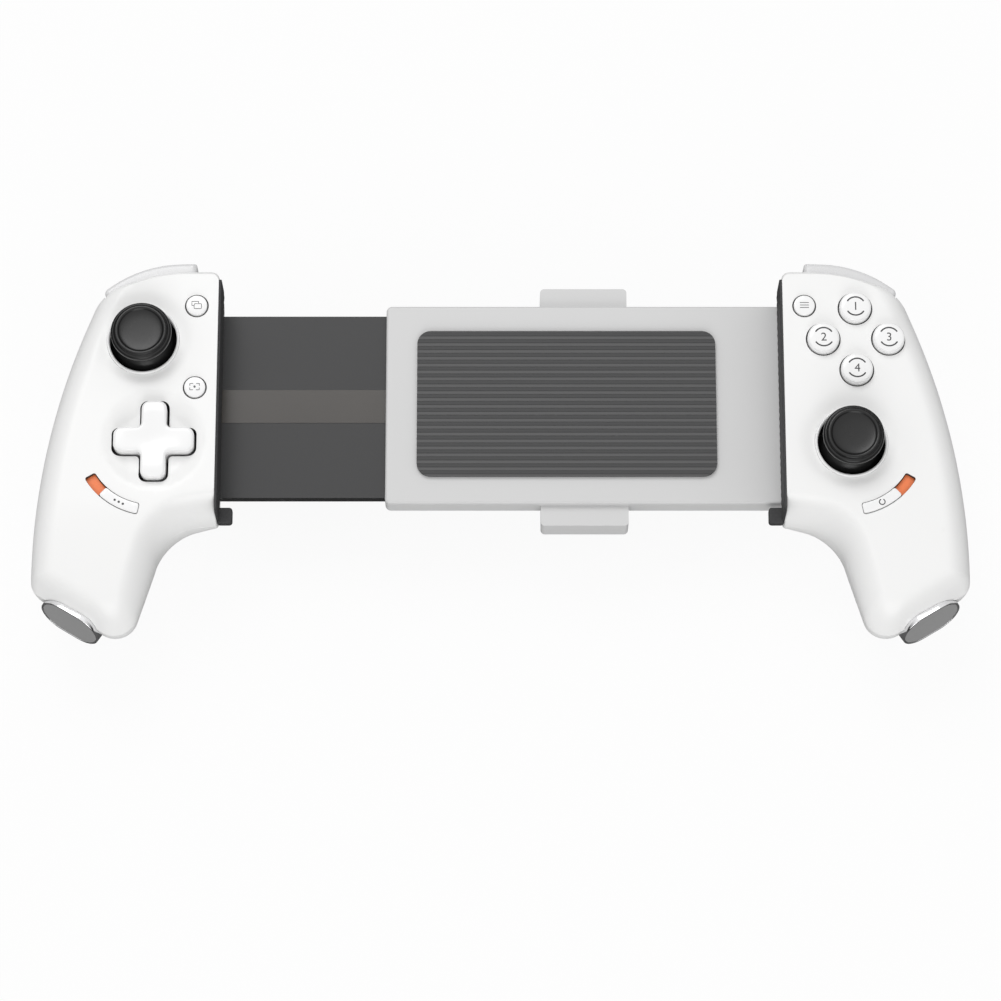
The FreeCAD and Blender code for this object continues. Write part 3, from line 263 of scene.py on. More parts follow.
def slab(loop, low, high, top_edge, bottom_edge=0.0, crown=None, lift=None, pitch=0.8):
    """A plate with a given outline whose rim turns over on quarter circles: at angle t the
    outline has moved in by e(1 - cos t) and risen by e sin t. The crown, a function of
    the plan, is added to the top face and fades to nothing at the bottom. The lift moves
    the plate's points to their place in space."""
    rim = [(1 - math.cos(t), 1 - math.sin(t)) for t in np.linspace(0, math.pi / 2, 7)]
    profile = [(0.0, low)]
    if bottom_edge:
        profile = [(bottom_edge * inset, low + bottom_edge * rise) for inset, rise in rim[::-1]]
    profile += [(top_edge * inset, high - top_edge * rise) for inset, rise in rim]
    crown = crown or (lambda plan: np.zeros(len(plan)))

    def place(plan, level):
        share = (level - low) / (high - low)
        return raised(plan, level + crown(plan) * share)

    rings = np.array([place(moved_in(loop, inset), level) for inset, level in profile])
    top_plan, top_faces = filled(rings[-1][:, :2], pitch)
    bottom_plan, bottom_faces = filled(rings[0][:, :2], 4 * pitch)
    top, floor = (place(top_plan, high), top_faces), (raised(bottom_plan, low), bottom_faces[:, ::-1])
    points, faces = joined(bridged(rings), top, floor)
    return lift(points) if lift else points, faces


def carried(profile, x, y, count):
    """A profile of (radius, level) points carried round an upright axis."""
    return bridged([raised(circle(x, y, radius, count), level) for radius, level in profile])


def turned(profile, x, y, count=72):
    """A carried profile that is closed at both ends on the axis."""
    points, quads = carried([(max(r, AXIS), z) for r, z in profile], x, y, count)
    first = np.arange(count)
    last = first + (len(profile) - 1) * count
    return points, [*quads.tolist(), first[::-1].tolist(), last.tolist()]


def smooth_profile(points, steps):
    """A corner-cutting (Chaikin) curve through a profile that keeps its two ends."""
    points = np.asarray(points, float)
    for _ in range(steps):
        ahead = points[1:]
        early, late = 0.75 * points[:-1] + 0.25 * ahead, 0.25 * points[:-1] + 0.75 * ahead
        cut = np.stack([early, late], 1).reshape(-1, 2)
        points = np.concatenate([points[:1], cut, points[-1:]])
    return points


# Pieces


def added(name, data):
    """A new object in the scene."""
    thing = bpy.data.objects.new(name, data)
    bpy.context.scene.collection.objects.link(thing)
    return thing


def worked_mesh(name, surface, material, cuts):
    """A surface as a mesh in metres, with its seams merged. A cutter's faces are turned
    outward, and a piece loses its slivers."""
    points, faces = surface
    mesh = bpy.data.meshes.new(name)
    mesh.from_pydata((np.asarray(points) * MM).tolist(), [], [list(face) for face in faces])
    mesh.materials.append(material)
    work = bmesh.new()
    work.from_mesh(mesh)
    bmesh.ops.remove_doubles(work, verts=work.verts, dist=MERGE * MM)
    if cuts:
        bmesh.ops.recalc_face_normals(work, faces=work.faces)
    else:
        bmesh.ops.dissolve_degenerate(work, dist=SLIVER * MM, edges=work.edges)
    work.to_mesh(mesh)
    work.free()
    return mesh


def make_piece(name, surface, body, material, replaces=(), sharp=40, finish=()):
    """Sets a surface on its body as a piece. finish holds the settings of Booleans that are
    worked into its mesh, and sharp the angle in degrees past which an edge isn't smooth."""
    piece = added(name, worked_mesh(name, surface, material, False))
    if finish:
        for settings in finish:
            modifier = piece.modifiers.new("boolean", "BOOLEAN")
            for key, value in settings.items():
                setattr(modifier, key, value)
        bpy.context.view_layer.update()
        shaped = piece.evaluated_get(bpy.context.evaluated_depsgraph_get())
        piece.modifiers.clear()
        piece.data = bpy.data.meshes.new_from_object(shaped)
    piece.data.shade_smooth()
    piece.data.set_sharp_from_angle(angle=math.radians(sharp))
    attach(piece, body)
    if replaces:
        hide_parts(*replaces)


CUTTERS = []


def cutter(name, surface, material):
    """A hidden solid that a Boolean uses, and the material of the walls that it leaves in a
    piece. It is removed at the end."""
    solid = added(name, worked_mesh(name, surface, material, True))
    solid.hide_render = True
    CUTTERS.append(solid)
    return solid


def block(xs, ys, zs):
    """A box with softened upright corners, between two values on each axis."""
    return slab(rounded_loop(rectangle(xs, ys), 0.3, 5, 3), *zs, SHARP_EDGE, pitch=6.0)


# Materials


class Output:
    """A node's output. Python's arithmetic on one that carries a number adds Math nodes."""

    def __init__(self, nodes, socket):
        self.nodes, self.socket = nodes, socket

    def __add__(self, other):
        return self.nodes.node("ShaderNodeMath", {"operation": "ADD"}, [self, other])

    def __mul__(self, other):
        return self.nodes.node("ShaderNodeMath", {"operation": "MULTIPLY"}, [self, other])

    def between(self, low, high, first, last, kind="LINEAR"):
        """Values from low to high turned into values from first to last."""
        inputs = {"Value": self, "From Min": low, "From Max": high, "To Min": first, "To Max": last}
        return self.nodes.node("ShaderNodeMapRange", {"interpolation_type": kind}, inputs)

    def band(self, low, high):
        """0 at low, 1 at high, smooth between."""
        return self.between(low, high, 0.0, 1.0, "SMOOTHSTEP")


class Nodes:
    """The node tree of a material or a world. One method adds all nodes."""

    def __init__(self, tree):
        self.tree = tree

    def node(self, kind, settings=None, inputs=None, output=0):
        made = self.tree.nodes.new(kind)
        for key, value in (settings or {}).items():
            setattr(made, key, value)
        pairs = inputs.items() if isinstance(inputs, dict) else enumerate(inputs or [])
        for key, value in pairs:
            if isinstance(value, Output):
                self.tree.links.new(value.socket, made.inputs[key])
            else:
                made.inputs[key].default_value = value
        return Output(self, made.outputs[output])


class Finish(Nodes):
    """A material with a Principled BSDF."""

    def __init__(self, name, **constants):
        self.material = bpy.data.materials.new(name)
        self.material.use_nodes = True
        super().__init__(self.material.node_tree)
        self.surface = self.tree.nodes["Principled BSDF"]
        self.place = self.node("ShaderNodeTexCoord", output="Object")
        for key, value in constants.items():
            title = key.replace("_", " ").title().replace("Ior", "IOR")
            self.surface.inputs[title].default_value = value
        self.material.diffuse_color = self.surface.inputs["Base Color"].default_value

    def link(self, value, name):
        self.tree.links.new(value.socket, self.surface.inputs[name])

    def noise(self, scale, detail, stretch=(1, 1, 1)):
        """Soft random values about 0.5, with features of 1/scale metres."""
        where = self.node("ShaderNodeMapping", {}, {"Vector": self.place, "Scale": stretch})
        inputs = {"Vector": where, "Scale": scale, "Detail": detail}
        return self.node("ShaderNodeTexNoise", {}, inputs)

    def waves(self, axis, scale, distortion=0.0):
        """Even bands across an axis, from 0 to 1."""
        inputs = {"Vector": self.place, "Scale": scale, "Distortion": distortion}
        return self.node("ShaderNodeTexWave", {"bands_direction": axis}, inputs, "Fac")

    def blend(self, factor, first, second):
        """Base Color from one colour at factor 0 to another at 1."""
        inputs = {0: factor, 6: first, 7: second}
        self.link(self.node("ShaderNodeMix", {"data_type": "RGBA"}, inputs, 2), "Base Color")

    def bump(self, height, depth):
        """Relief of a given depth in millimetres."""
        inputs = {"Height": height, "Distance": depth * MM, "Strength": 1.0}
        self.link(self.node("ShaderNodeBump", {}, inputs), "Normal")


def shade(colour, factor):
    """A colour made lighter or darker, with its alpha."""
    return (*[min(1.0, c * factor) for c in colour], 1.0)


def moulded(name, colour, roughness, grain=2600, depth=0.004, mottle=0.02, **constants):
    """Moulded plastic: a fine spark-eroded grain, and a slow drift of tone and gloss."""
    spread = 0.06
    finish = Finish(name, base_color=(*colour, 1.0), roughness=roughness, **constants)
    drift = finish.noise(28, 3.0)
    finish.blend(drift, shade(colour, 1 - mottle), shade(colour, 1 + mottle))
    fine = finish.noise(grain, 2.0)
    finish.link(fine * spread + (drift * spread + (roughness - spread)), "Roughness")
    finish.bump(fine, depth)
    return finish.material


def rubber(name, colour, roughness, depth=0.02):
    """Silicone rubber: a matt skin with a felt of tiny pits and dusty lighter patches."""
    finish = Finish(name, base_color=(*colour, 1.0), roughness=roughness, specular_ior_level=0.4)
    dust = finish.noise(70, 5.0).band(0.45, 0.75)
    finish.blend(dust, shade(colour, 0.96), shade(colour, 1.06))
    pits = finish.noise(1800, 3.0)
    finish.link(pits * 0.12 + (roughness - 0.06), "Roughness")
    finish.bump(pits, depth)
    return finish.material


def metal(name, colour, roughness, stretch, depth=0.002):
    """Metal with fine drawn lines, long in the direction that has the small stretch."""
    finish = Finish(name, base_color=(*colour, 1.0), roughness=roughness, metallic=1.0)
    lines = finish.noise(900, 3.0, stretch)
    finish.blend(lines, shade(colour, 0.94), shade(colour, 1.04))
    finish.link(lines * 0.1 + (roughness - 0.04), "Roughness")
    finish.bump(lines, depth)
    return finish.material


def board_laminate():
    """A circuit board: green mask over copper tracks, which stand a little proud."""
    mask = (0.01, 0.11, 0.05, 1)
    finish = Finish("board_laminate", base_color=mask, roughness=0.35, coat_weight=0.4)
    tracks = finish.waves("X", 260, 6.0).band(0.72, 0.8)
    finish.blend(tracks, (0.008, 0.09, 0.04, 1), (0.03, 0.22, 0.1, 1))
    finish.bump(tracks, 0.03)
    return finish.material


def ribbed_rubber():
    """The bridge's pad: matt rubber with low moulded ribs along its length, with painted shade in
    their valleys and a painted light on their crests.
    """
    finish = Finish("rest_rubber", base_color=(0.075, 0.075, 0.076, 1), roughness=0.6)
    ribs = finish.waves("Y", 150).band(0.25, 0.75)
    grain = finish.noise(1500, 3.0)
    # Painted shade: the colour follows the ribs' height, darker in the valleys and lighter on the
    # crests.
    finish.blend(ribs, (0.045, 0.045, 0.046, 1), (0.082, 0.082, 0.083, 1))
    finish.bump(ribs + grain * 0.1, 0.25)
    return finish.material


def cushion_rubber():
    """The strips on the grips' inner sides: dark matt rubber with a coarse grain."""
    finish = Finish("cushion_rubber", base_color=(0.035, 0.035, 0.036, 1), roughness=0.7)
    grain = finish.noise(1500, 4.0)
    finish.blend(grain, (0.026, 0.026, 0.027, 1), (0.05, 0.05, 0.052, 1))
    finish.bump(grain, 0.03)
    return finish.material


SHELL = moulded("shell_plastic", (0.88, 0.88, 0.875), 0.34, mottle=0.008, depth=0.003)
BUTTON = moulded(
    "button_plastic", (0.89, 0.89, 0.89), 0.22, mottle=0.006, depth=0.001, coat_weight=0.3
)
SHOULDER = moulded(
    "shoulder_plastic", (0.74, 0.74, 0.745), 0.28, mottle=0.01, depth=0.001, coat_weight=0.2
)
# Painted shade: the walls of the button holes, the arc and cross grooves and the screw drives are
# dark grey, standing in for the shade in them.
PAINTED_GAP_SHADE = moulded("gap_shadow", (0.07, 0.07, 0.07), 0.6, depth=0.002)
BRIDGE = moulded("bridge_plastic", (0.62, 0.62, 0.62), 0.4, mottle=0.015)
BLACK = moulded("black_plastic", (0.02, 0.02, 0.021), 0.45, mottle=0.1, depth=0.006)
INNER = moulded("inner_plastic", (0.035, 0.035, 0.037), 0.55, mottle=0.08, depth=0.008)
PLATE = moulded("end_plate_plastic", (0.29, 0.29, 0.29), 0.4, grain=3200, depth=0.002)
ORANGE = moulded("accent_plastic", (1.0, 0.24, 0.075), 0.38, mottle=0.03, depth=0.003)
FILM = moulded("cable_film", (0.05, 0.045, 0.04), 0.25, mottle=0.1, depth=0.002)
PRINT = moulded("print_grey", (0.035, 0.035, 0.037), 0.5, mottle=0.1, depth=0.002)
SOFT_PRINT = moulded("print_soft_grey", (0.11, 0.11, 0.115), 0.5, mottle=0.05, depth=0.002)
STICK = rubber("stick_rubber", (0.007, 0.007, 0.0072), 0.3, depth=0.004)
CUSHION = cushion_rubber()
REST = ribbed_rubber()
SILICONE = rubber("pad_silicone", (0.42, 0.42, 0.43), 0.5)
CHROME = metal("chrome", (0.88, 0.88, 0.89), 0.07, (1, 1, 1), 0.0003)
STEEL = metal("steel", (0.55, 0.55, 0.56), 0.3, (1, 1, 0.05))
FOIL = metal("battery_foil", (0.6, 0.61, 0.62), 0.38, (1, 0.2, 1), 0.01)
BOARD = board_laminate()


# Shells


def sag(plan):
    """How far the face has bent back: the way past the bend's start, squared, over twice
    the bend's radius."""
    start, radius = -33.0, 86.0
    return np.maximum(start - plan[:, 1], 0) ** 2 / (2 * radius)


def ease(value, low, high):
    """0 below low, 1 above high, with the smooth step 3t^2 - 2t^3 between."""
    t = np.clip((value - low) / (high - low), 0, 1)
    return t * t * (3 - 2 * t)


def face_level(plan, side):
    """The face's height over the plan: flat, bent back at the tail, hollowed softly round
    the stick and sharply round the direction pad."""
    level = FACE - sag(plan)
    away = np.linalg.norm(plan - np.array(STICKS[side]) * (SIDES[side], 1), axis=1)
    level -= BOWL_DEPTH * (1 - ease(away, STICK_HOLE, BOWL_RIM))
    if side == "left":
        away = np.linalg.norm(plan - np.array(DPAD) * (-1, 1), axis=1)
        level -= DISH_DEPTH * np.clip((DISH_RIM - away) / (DISH_RIM - DISH_FLOOR), 0, 1)
    return level


def softened(value, width=2.5):
    """max(value, 0) with its corner rounded: width * log(1 + exp(value / width))."""
    return width * np.logaddexp(0, value / width)


def depth_below(plan):
    """The grip's depth over the plan: a shallow head, a deep palm and a rising tail, cut
    off by a slope towards the bridge. The two meet in a smooth minimum."""
    x, y = plan[:, 0], plan[:, 1]
    head, palm, blend = 13.0, 14.0, 0.9
    palm_start, palm_end, tail_start = 28.0, -2.0, -46.0
    swell = softened(palm_start - y) - softened(palm_end - y)
    side = head + palm / (palm_start - palm_end) * swell - 0.4 * softened(tail_start - y)
    slope = head + 0.74 * np.maximum(x - INNER_SIDE, 0)
    return -blend * np.logaddexp(-side / blend, -slope / blend)


# How many points the arc at each corner of the grip's plan has, and the side after it.
ARC_STEPS = (5, 26, 18, 14, 30, 22, 26, 10)
SIDE_STEPS = (14, 30, 22, 34, 34, 12, 12, 60)


def grip_ring(share, front, wall=0.0):
    """The grip's plan where a surface has gone a share of the way from the parting line to
    the face or the palm. Its sides move in as on a quarter of an ellipse, and beside the
    bridge not at all. The inner and near sides of the front have a bevel that grows with the
    share, and a soft edge. A wall moves every side in, which gives the hollow."""
    arc = 1 - math.sqrt(max(1 - share**2, 0.0))
    soft = EDGE_SOFT * (1 - math.sqrt(max(1 - share**7, 0.0)))
    if front:
        hollow, tail = BEVEL * share**2 + soft, TAIL_BEVEL * share + 2.0 * soft
        outer, top = FRONT_ROUND * arc, TOP_ROUND * share**8
    else:
        hollow = tail = INNER_ROUND * arc
        outer, top = REAR_ROUND * arc, TOP_ROUND * arc
    # An inset for each side of the plan, and a radius for each corner.
    insets = np.array([hollow, hollow, tail, outer, outer, top, top, 0.0]) + wall
    radii = [0.6, 13.0 + hollow + wall, max(6.5 - hollow / 3 - wall, 1.2)]
    radii += [max(4.0 - outer / 2 - wall, 1.2), 215.0 - outer - wall, 7.0 - wall]
    radii += [60.0 - top - wall, max(CORNER - wall, 0.6)]
    return rounded_loop(offset_corners(GRIP_PLAN, insets), radii, ARC_STEPS, SIDE_STEPS)


def grip_half(side, front, wall=0.0):
    """Half a grip as a closed solid, from the parting line over its rounded side to the
    face or the palm. Its height is a share of the full height over the same place, so the
    rounding stays whole where the grip gets thinner. With a wall it is the hollow inside,
    which reaches past the parting line."""

    def height(plan, share):
        if front:
            return PARTING + share * (face_level(plan, side) - wall - PARTING)
        return PARTING - share * (depth_below(plan) + PARTING - wall)

    rings = []
    for share in np.sin(np.linspace(0, math.pi / 2, 16 if wall else 26)):
        plan = grip_ring(share, front, wall)
        rings.append(raised(plan, height(plan, share)))
    way = 1 if front else -1
    if wall:
        rings.insert(0, rings[0] - (0, 0, way))
    else:
        seam = raised(moved_in(rings[0][:, :2], SEAM), PARTING)
        rings[0] = rings[0] + (0, 0, 1.2 * SEAM * way)
        rings.insert(0, seam)
    creases = dish_creases() if front and side == "left" and not wall else []
    plan, faces = filled(rings[-1][:, :2], 2.0 if wall else 1.1, creases)
    base, base_faces = filled(rings[0][:, :2], 5.0)
    quads, cap = bridged(np.array(rings)), raised(plan, height(plan, 1.0))
    floor = raised(base, rings[0][0, 2])
    return joined(
        (quads[0], quads[1][:, ::way]), (cap, faces[:, ::way]), (floor, base_faces[:, ::-way])
    )


def on_right(loop, side):
    """A loop of the left grip reflected into the right one's place, and kept anticlockwise."""
    return loop if side == "right" else (loop * np.array([-1, 1]))[::-1]


def dish_creases():
    """The rim and the floor's edge of the dish, in the right grip's place."""
    x, y = -DPAD[0], DPAD[1]
    return [circle(x, y, DISH_RIM, 120), circle(x, y, DISH_FLOOR, 90)]


def round_hole(x, y, radius):
    """The form of a hole with a fine bevel at the face."""
    wide = radius + 0.25
    bevel = [(radius, FACE - 0.15), (wide, FACE + 0.08)]
    profile = [(0, CUT_LOW), (radius, CUT_LOW), *bevel, (wide, CUT_HIGH), (0, CUT_HIGH)]
    return turned(profile, x, y, 96)


def plain_hole(x, y, radius, low, high, count):
    """The form of a straight hole between two levels."""
    return turned([(0, low), (radius, low), (radius, high), (0, high)], x, y, count)


def face_openings(side):
    """The forms of the buttons' holes in a face, and of the stick's and bumper's openings."""
    buttons = [(*place, FACE_BUTTON_RADIUS) for place in FACE_BUTTONS.values()]
    buttons += [(*place, SMALL_BUTTON_RADIUS) for place in SMALL_BUTTONS.values()]
    holes = [
        round_hole(abs(x), y, radius + BUTTON_GAP + HOLE_EASE)
        for x, y, radius in buttons
        if (x > 0) == (side == "right")
    ]
    loops = [arc_loop(side, ARC_START, ARC_END, ARC_WIDTH / 2 + ARC_GAP + ARC_EASE)]
    if side == "left":
        loops.append(cross_loop(DPAD_GAP))
    for loop in loops:
        holes.append(slab(on_right(loop, side), CUT_LOW, CUT_HIGH, SHARP_EDGE, pitch=4.0))
    x, y = STICKS[side]
    low, high = BUMPER_LOW - BUMPER_GAP, BUMPER_HIGH + BUMPER_GAP
    slots = [
        plain_hole(abs(x), y, STICK_HOLE, CUT_LOW, CUT_HIGH, 96),
        slab(bumper_loop(BUMPER_GAP, BUMPER_SWING), low, high, SHARP_EDGE, pitch=6.0),
    ]
    return holes, slots


# The bumper's levels, the gap round it in the shell, and how far it swings in.
BUMPER_LOW, BUMPER_HIGH, BUMPER_GAP, BUMPER_SWING = 1.2, 9.2, 0.35, 1.2


def bumper_loop(grow, swing=0.0):
    """The bumper's plan: it follows the shoulder, and stands proud of it. Its slot is larger
    by a gap, and deeper by the way that it swings in."""
    reach, inner, outer = 39.5 + grow, 87.4 - grow, 114.8 + grow
    back = 29.8 - grow - swing
    near = [(inner, reach), (inner, back), (106.2, back + 1.2), (outer - 2.0, back - 2.3)]
    far = [(outer - 0.8, 31.0 + grow), (103.2, reach - 0.4)]
    return rounded_loop(np.array(near + far), [0.8, 0.5, 6.0, 0.6, 1.6, 34.0], 9, 14)


# Each screw's place, and the level of its head, above the whole rim of its well.
SCREWS = ((87.5, -30.5, -15.2), (119.0, 3.0, -18.8), (125.0, -26.0, -20.9), (107.5, -60.0, -16.9))
WELL_RADIUS, WELL_WALL = 2.05, 0.7
DRIVE_ARM, DRIVE_REACH = 0.28, 1.05
# The bridge's opening in each shell's inner side: its half width and its levels.
WINDOWS = {"left": (27.7, -6.8, -3.08), "right": (18.1, -8.1, -5.9)}


def placed(side, surface):
    """A surface of the right grip, mirrored for the left one."""
    return mirrored(surface) if side == "left" else surface


def make_shells(side):
    """Both shells, hollow and with their openings, and the screws in their wells."""
    body = f"{side}_half"

    def cut(name, form, walls=SHELL):
        return {
            "object": cutter(f"{side}_{name}", form, walls),
            "operation": "DIFFERENCE",
            "solver": "MANIFOLD",
            "material_mode": "TRANSFER",
        }

    def shell(half, cuts):
        name, front = f"{side}_{half}_shell", half == "front"
        skin = placed(side, grip_half(side, front))
        hollow = cut(f"{half}_hollow", placed(side, grip_half(side, front, WALL)))
        boss = cut(f"{half}_boss", boss_bar(side, 0.1, -5.0, 4.0))
        finish = [hollow, *cuts, boss]
        make_piece(f"{name}_skin", skin, body, SHELL, [name], finish=finish)

    holes, slots = (placed(side, joined(*forms)) for forms in face_openings(side))
    # The control holes' walls take the painted shade.
    shell("front", [cut("control_holes", holes, PAINTED_GAP_SHADE), cut("face_slots", slots)])
    trigger_mouth = block((91.5, 111.5), (26.0, 45.0), (-29.5, -1.0))
    wells = [plain_hole(x, y, WELL_RADIUS, -40.0, -6.0, 40) for x, y, _ in SCREWS]
    half, low, high = WINDOWS[side]
    window = block((79.0, 84.0), (-half, half), (low, high))
    shell("rear", [cut("rear_openings", placed(side, joined(trigger_mouth, window, *wells)))])

    tubes = placed(side, joined(*[screw_tube(x, y) for x, y, _ in SCREWS]))
    room = cutter(f"{side}_room", placed(side, grip_half(side, False, WALL)), SHELL)
    fit = {"object": room, "operation": "INTERSECT", "solver": "MANIFOLD"}
    make_piece(f"{side}_screw_wells", tubes, body, SHELL, finish=[fit])
    drives = [
        slab(plus_loop(x, y, DRIVE_ARM, DRIVE_REACH), level - 1.0, level + 0.75, SHARP_EDGE)
        for x, y, level in SCREWS
    ]
    heads = placed(side, joined(*[screw(*spot) for spot in SCREWS]))
    # The drives' walls take the painted shade, in place of the screw's steel.
    cuts, name = [cut("drives", placed(side, joined(*drives)), PAINTED_GAP_SHADE)], f"{side}_shell_screws"
    make_piece(f"{side}_screw_heads", heads, body, STEEL, [name], finish=cuts)


def screw(x, y, level):
    """A pan head with a soft edge, and its shank up to the parting line."""
    seat, shank, tip = level + 1.4, 0.95, -2.0
    head = smooth_profile([(0, level), (1.5, level), (1.88, level + 0.35), (1.9, seat)], 2)
    return turned([*head, (shank, seat), (shank, tip), (0, tip)], x, y, 40)


def plus_loop(x, y, arm, span):
    """A plus sign's outline about a point."""
    quarter = np.array([(arm, arm), (arm, span), (-arm, span)])
    corners = np.concatenate([quarter @ turn for turn in QUARTERS]) + (x, y)
    return rounded_loop(corners, 0.06, 3, 3)


def screw_tube(x, y):
    """The wall of a screw's well, from the skin to past the screw's head. What lies below
    the skin's inside is cut away later."""
    floor = -depth_below(np.array([[x, y]]))[0]
    inner, outer = WELL_RADIUS, WELL_RADIUS + WELL_WALL
    low, high = floor - 1.0, floor + 7.5
    return carried([(inner, low), (outer, low), (outer, high), (inner, high), (inner, low)], x, y, 40)


# The tail's ring and plate


def boss_lift(side):
    """Turns a plan's (along, up, outward) into space: the tail's end faces near and outward,
    and leans back so that it also faces up a little."""
    turn, tilt = math.radians(31.0), math.radians(11.0)
    near = np.array([math.sin(turn), -math.cos(turn), 0.0])
    along = np.array([math.cos(turn), math.sin(turn), 0.0])
    upward = np.array([0, 0, math.cos(tilt)]) - near * math.sin(tilt)
    out = near * math.cos(tilt) + (0, 0, math.sin(tilt))
    centre = np.array([120.85, -62.1, -5.6])
    sign = np.array([SIDES[side], 1, 1])

    def lift(points):
        spots = centre + points[:, :1] * along + points[:, 1:2] * upward + points[:, 2:] * out
        return spots * sign

    return lift


def oblong(length, height):
    """Two half circles joined by straight sides."""
    half = (length - height) / 2
    cap = height / 2 * around(np.linspace(-math.pi / 2, math.pi / 2, 36)) + (half, 0)
    run = np.linspace(half, -half, 12)[1:-1]
    top = np.stack([run, np.full(len(run), height / 2)], 1)
    return np.concatenate([cap, top, -cap, -top])


def faced(side, surface):
    """The boss's axes are a left-handed set on the right grip, so its faces are turned there."""
    points, faces = surface
    return points, [list(face)[:: -SIDES[side]] for face in faces]


BOSS_LENGTH, BOSS_HEIGHT = 19, 14


def boss_bar(side, grow, low, high):
    """The room that the tail's ring and plate take in the shells."""
    loop = oblong(BOSS_LENGTH + 2 * grow, BOSS_HEIGHT + 2 * grow)
    return faced(side, slab(loop, low, high, SHARP_EDGE, lift=boss_lift(side), pitch=4))


def make_tail(side):
    """The bright ring, from an outline of (inset, level), and the plate inside it."""
    body, lift = f"{side}_half", boss_lift(side)
    profile = [(0, -4.0), (0, 2.6), (0.1, 2.85), (0.45, 2.85), (0.55, 2.7), (0.55, -3.0)]
    loop = oblong(BOSS_LENGTH, BOSS_HEIGHT)
    rings = [raised(moved_in(loop, inset), level) for inset, level in smooth_profile(profile, 3)]
    points, faces = bridged(rings)
    ring = faced(side, (lift(points), faces))
    make_piece(f"{side}_end_ring_trim", ring, body, CHROME, [f"{side}_end_ring"], sharp=50)

    def crown(plan):
        return -0.25 * np.exp(-(plan**2).sum(1) / 40)

    plate = faced(side, slab(oblong(17.8, 12.8), -3.0, 2.75, 0.2, crown=crown, lift=lift))
    make_piece(f"{side}_end_plate_inlay", plate, body, PLATE, [f"{side}_end_plate"])


# Thumbsticks

# Outlines of (radius, level): the trim ring, and a cap's head above the stick's pivot.
STICK_RING = [(10.42, 10.7), (10.42, 12.6), (10.2, 12.95), (9.85, 12.95), (9.55, 12.6), (9.55, 10.7)]
STICK_HEAD = [
    (3.3, 12.6), (3.3, 15.6), (4.2, 16.0), (7.6, 16.0), (8.35, 16.3), (8.65, 17.0), (8.65, 18.0),
    (8.2, 18.55), (7.75, 18.6), (7.6, 18.85), (7.45, 19.3), (6.95, 19.5), (6.4, 19.35),
    (6.1, 18.95), (4.5, 18.75), (2.0, 18.68), (0.0, 18.67),
]


def pivot_arc(radius, first, last):
    """An outline along an upright arc about the stick's pivot, between two angles."""
    angles = np.linspace(first, last, 14)
    return [(radius * math.cos(t), STICK_PIVOT + radius * math.sin(t)) for t in angles]


def make_stick(side):
    """The trim ring and the cap: a hollow dome, a neck and a dished head with a rim."""
    x, y = STICKS[side]
    name = f"{side}_stick_ring"
    ring = smooth_profile(STICK_RING, 3)
    ring = carried(np.concatenate([ring, ring[:1]]), x, y, 96)
    make_piece(f"{name}_trim", ring, f"{side}_half", BUTTON, [name])
    outer, inner, skirt, neck = 12.0, 11.0, 4.1, 3.6
    dome = pivot_arc(outer, math.asin(skirt / outer), math.acos(neck / outer))
    hollow = pivot_arc(inner, math.pi / 2, math.asin(skirt / inner))
    head = smooth_profile([dome[-1], *[(r, STICK_PIVOT + z) for r, z in STICK_HEAD]], 3)
    cap = turned(hollow + dome[:-1] + head.tolist(), x, y, 96)
    name = f"{side}_stick_cap"
    make_piece(f"{name}_grip", cap, name, STICK, [name], sharp=60)


# Buttons


def make_round_button(name, place, radius, rise, edge):
    """A cap with a soft rim, on a flange that keeps it in its hole."""
    top, flange, floor, ledge = FACE + rise, radius + 0.7, 8.9, 10.3
    profile = [(0.0, floor), (flange, floor), (flange, ledge), (radius, ledge)]
    profile += [(radius, top - edge), (radius - 0.35 * edge, top - 0.2 * edge)]
    profile += [(radius - 1.2 * edge, top + 0.02), (radius * 0.5, top + 0.06), (0.0, top + 0.07)]
    cap = turned(smooth_profile(profile, 3), *place)
    make_piece(f"{name}_cap", cap, name, BUTTON, [name])


def make_arc_parts(side):
    """The curved button and the accent beside it, in one groove."""
    half, sunk, thickness = ARC_WIDTH / 2, 1.25, 2.4
    name = f"{side}_arc_button"
    loop = arc_loop(side, ARC_SPLIT + 0.3, ARC_END - 0.35, half, 0.65)
    cap = slab(loop, 9.0, FACE + ARC_BUTTON_RISE, 0.3)
    make_piece(f"{name}_cap", cap, name, BUTTON, [name])
    name, level = f"{side}_accent", FACE - sunk
    loop = arc_loop(side, ARC_START + 0.1, ARC_SPLIT, half + ARC_GAP - 0.03, 0.5)
    inlay = slab(loop, level - thickness, level, 0.12)
    make_piece(f"{name}_inlay", inlay, f"{side}_half", ORANGE, [name])


def make_dpad():
    """A cross with a hollow at its centre and arms that fall away at their ends."""

    def crown(plan):
        away = np.linalg.norm(plan - np.array(DPAD), axis=1)
        return -0.55 * np.exp(-((away / 5.5) ** 2)) - 0.25 * ease(away, 8.0, 12.5)

    cross = slab(cross_loop(0.0), 6.0, FACE + 2.0, 0.9, crown=crown, pitch=0.7)
    make_piece("dpad_cross", cross, "dpad", BUTTON, ["dpad"], sharp=50)


# Marks: thin raised prints


def stroke(path, width):
    """The outline of a line of even width: out along one side of a path and back along the
    other, with half circles at its ends."""
    half = width / 2
    way = unit(np.gradient(path, axis=0))
    normal = leftward(way) * half
    angle = np.linspace(-math.pi / 2, math.pi / 2, 7)[1:-1, None]
    tip, tail = (
        path[end] + sign * half * (np.cos(angle) * way[end] + np.sin(angle) * normal[end] / half)
        for end, sign in ((-1, 1), (0, -1))
    )
    return np.concatenate([path - normal, tip, (path + normal)[::-1], tail])


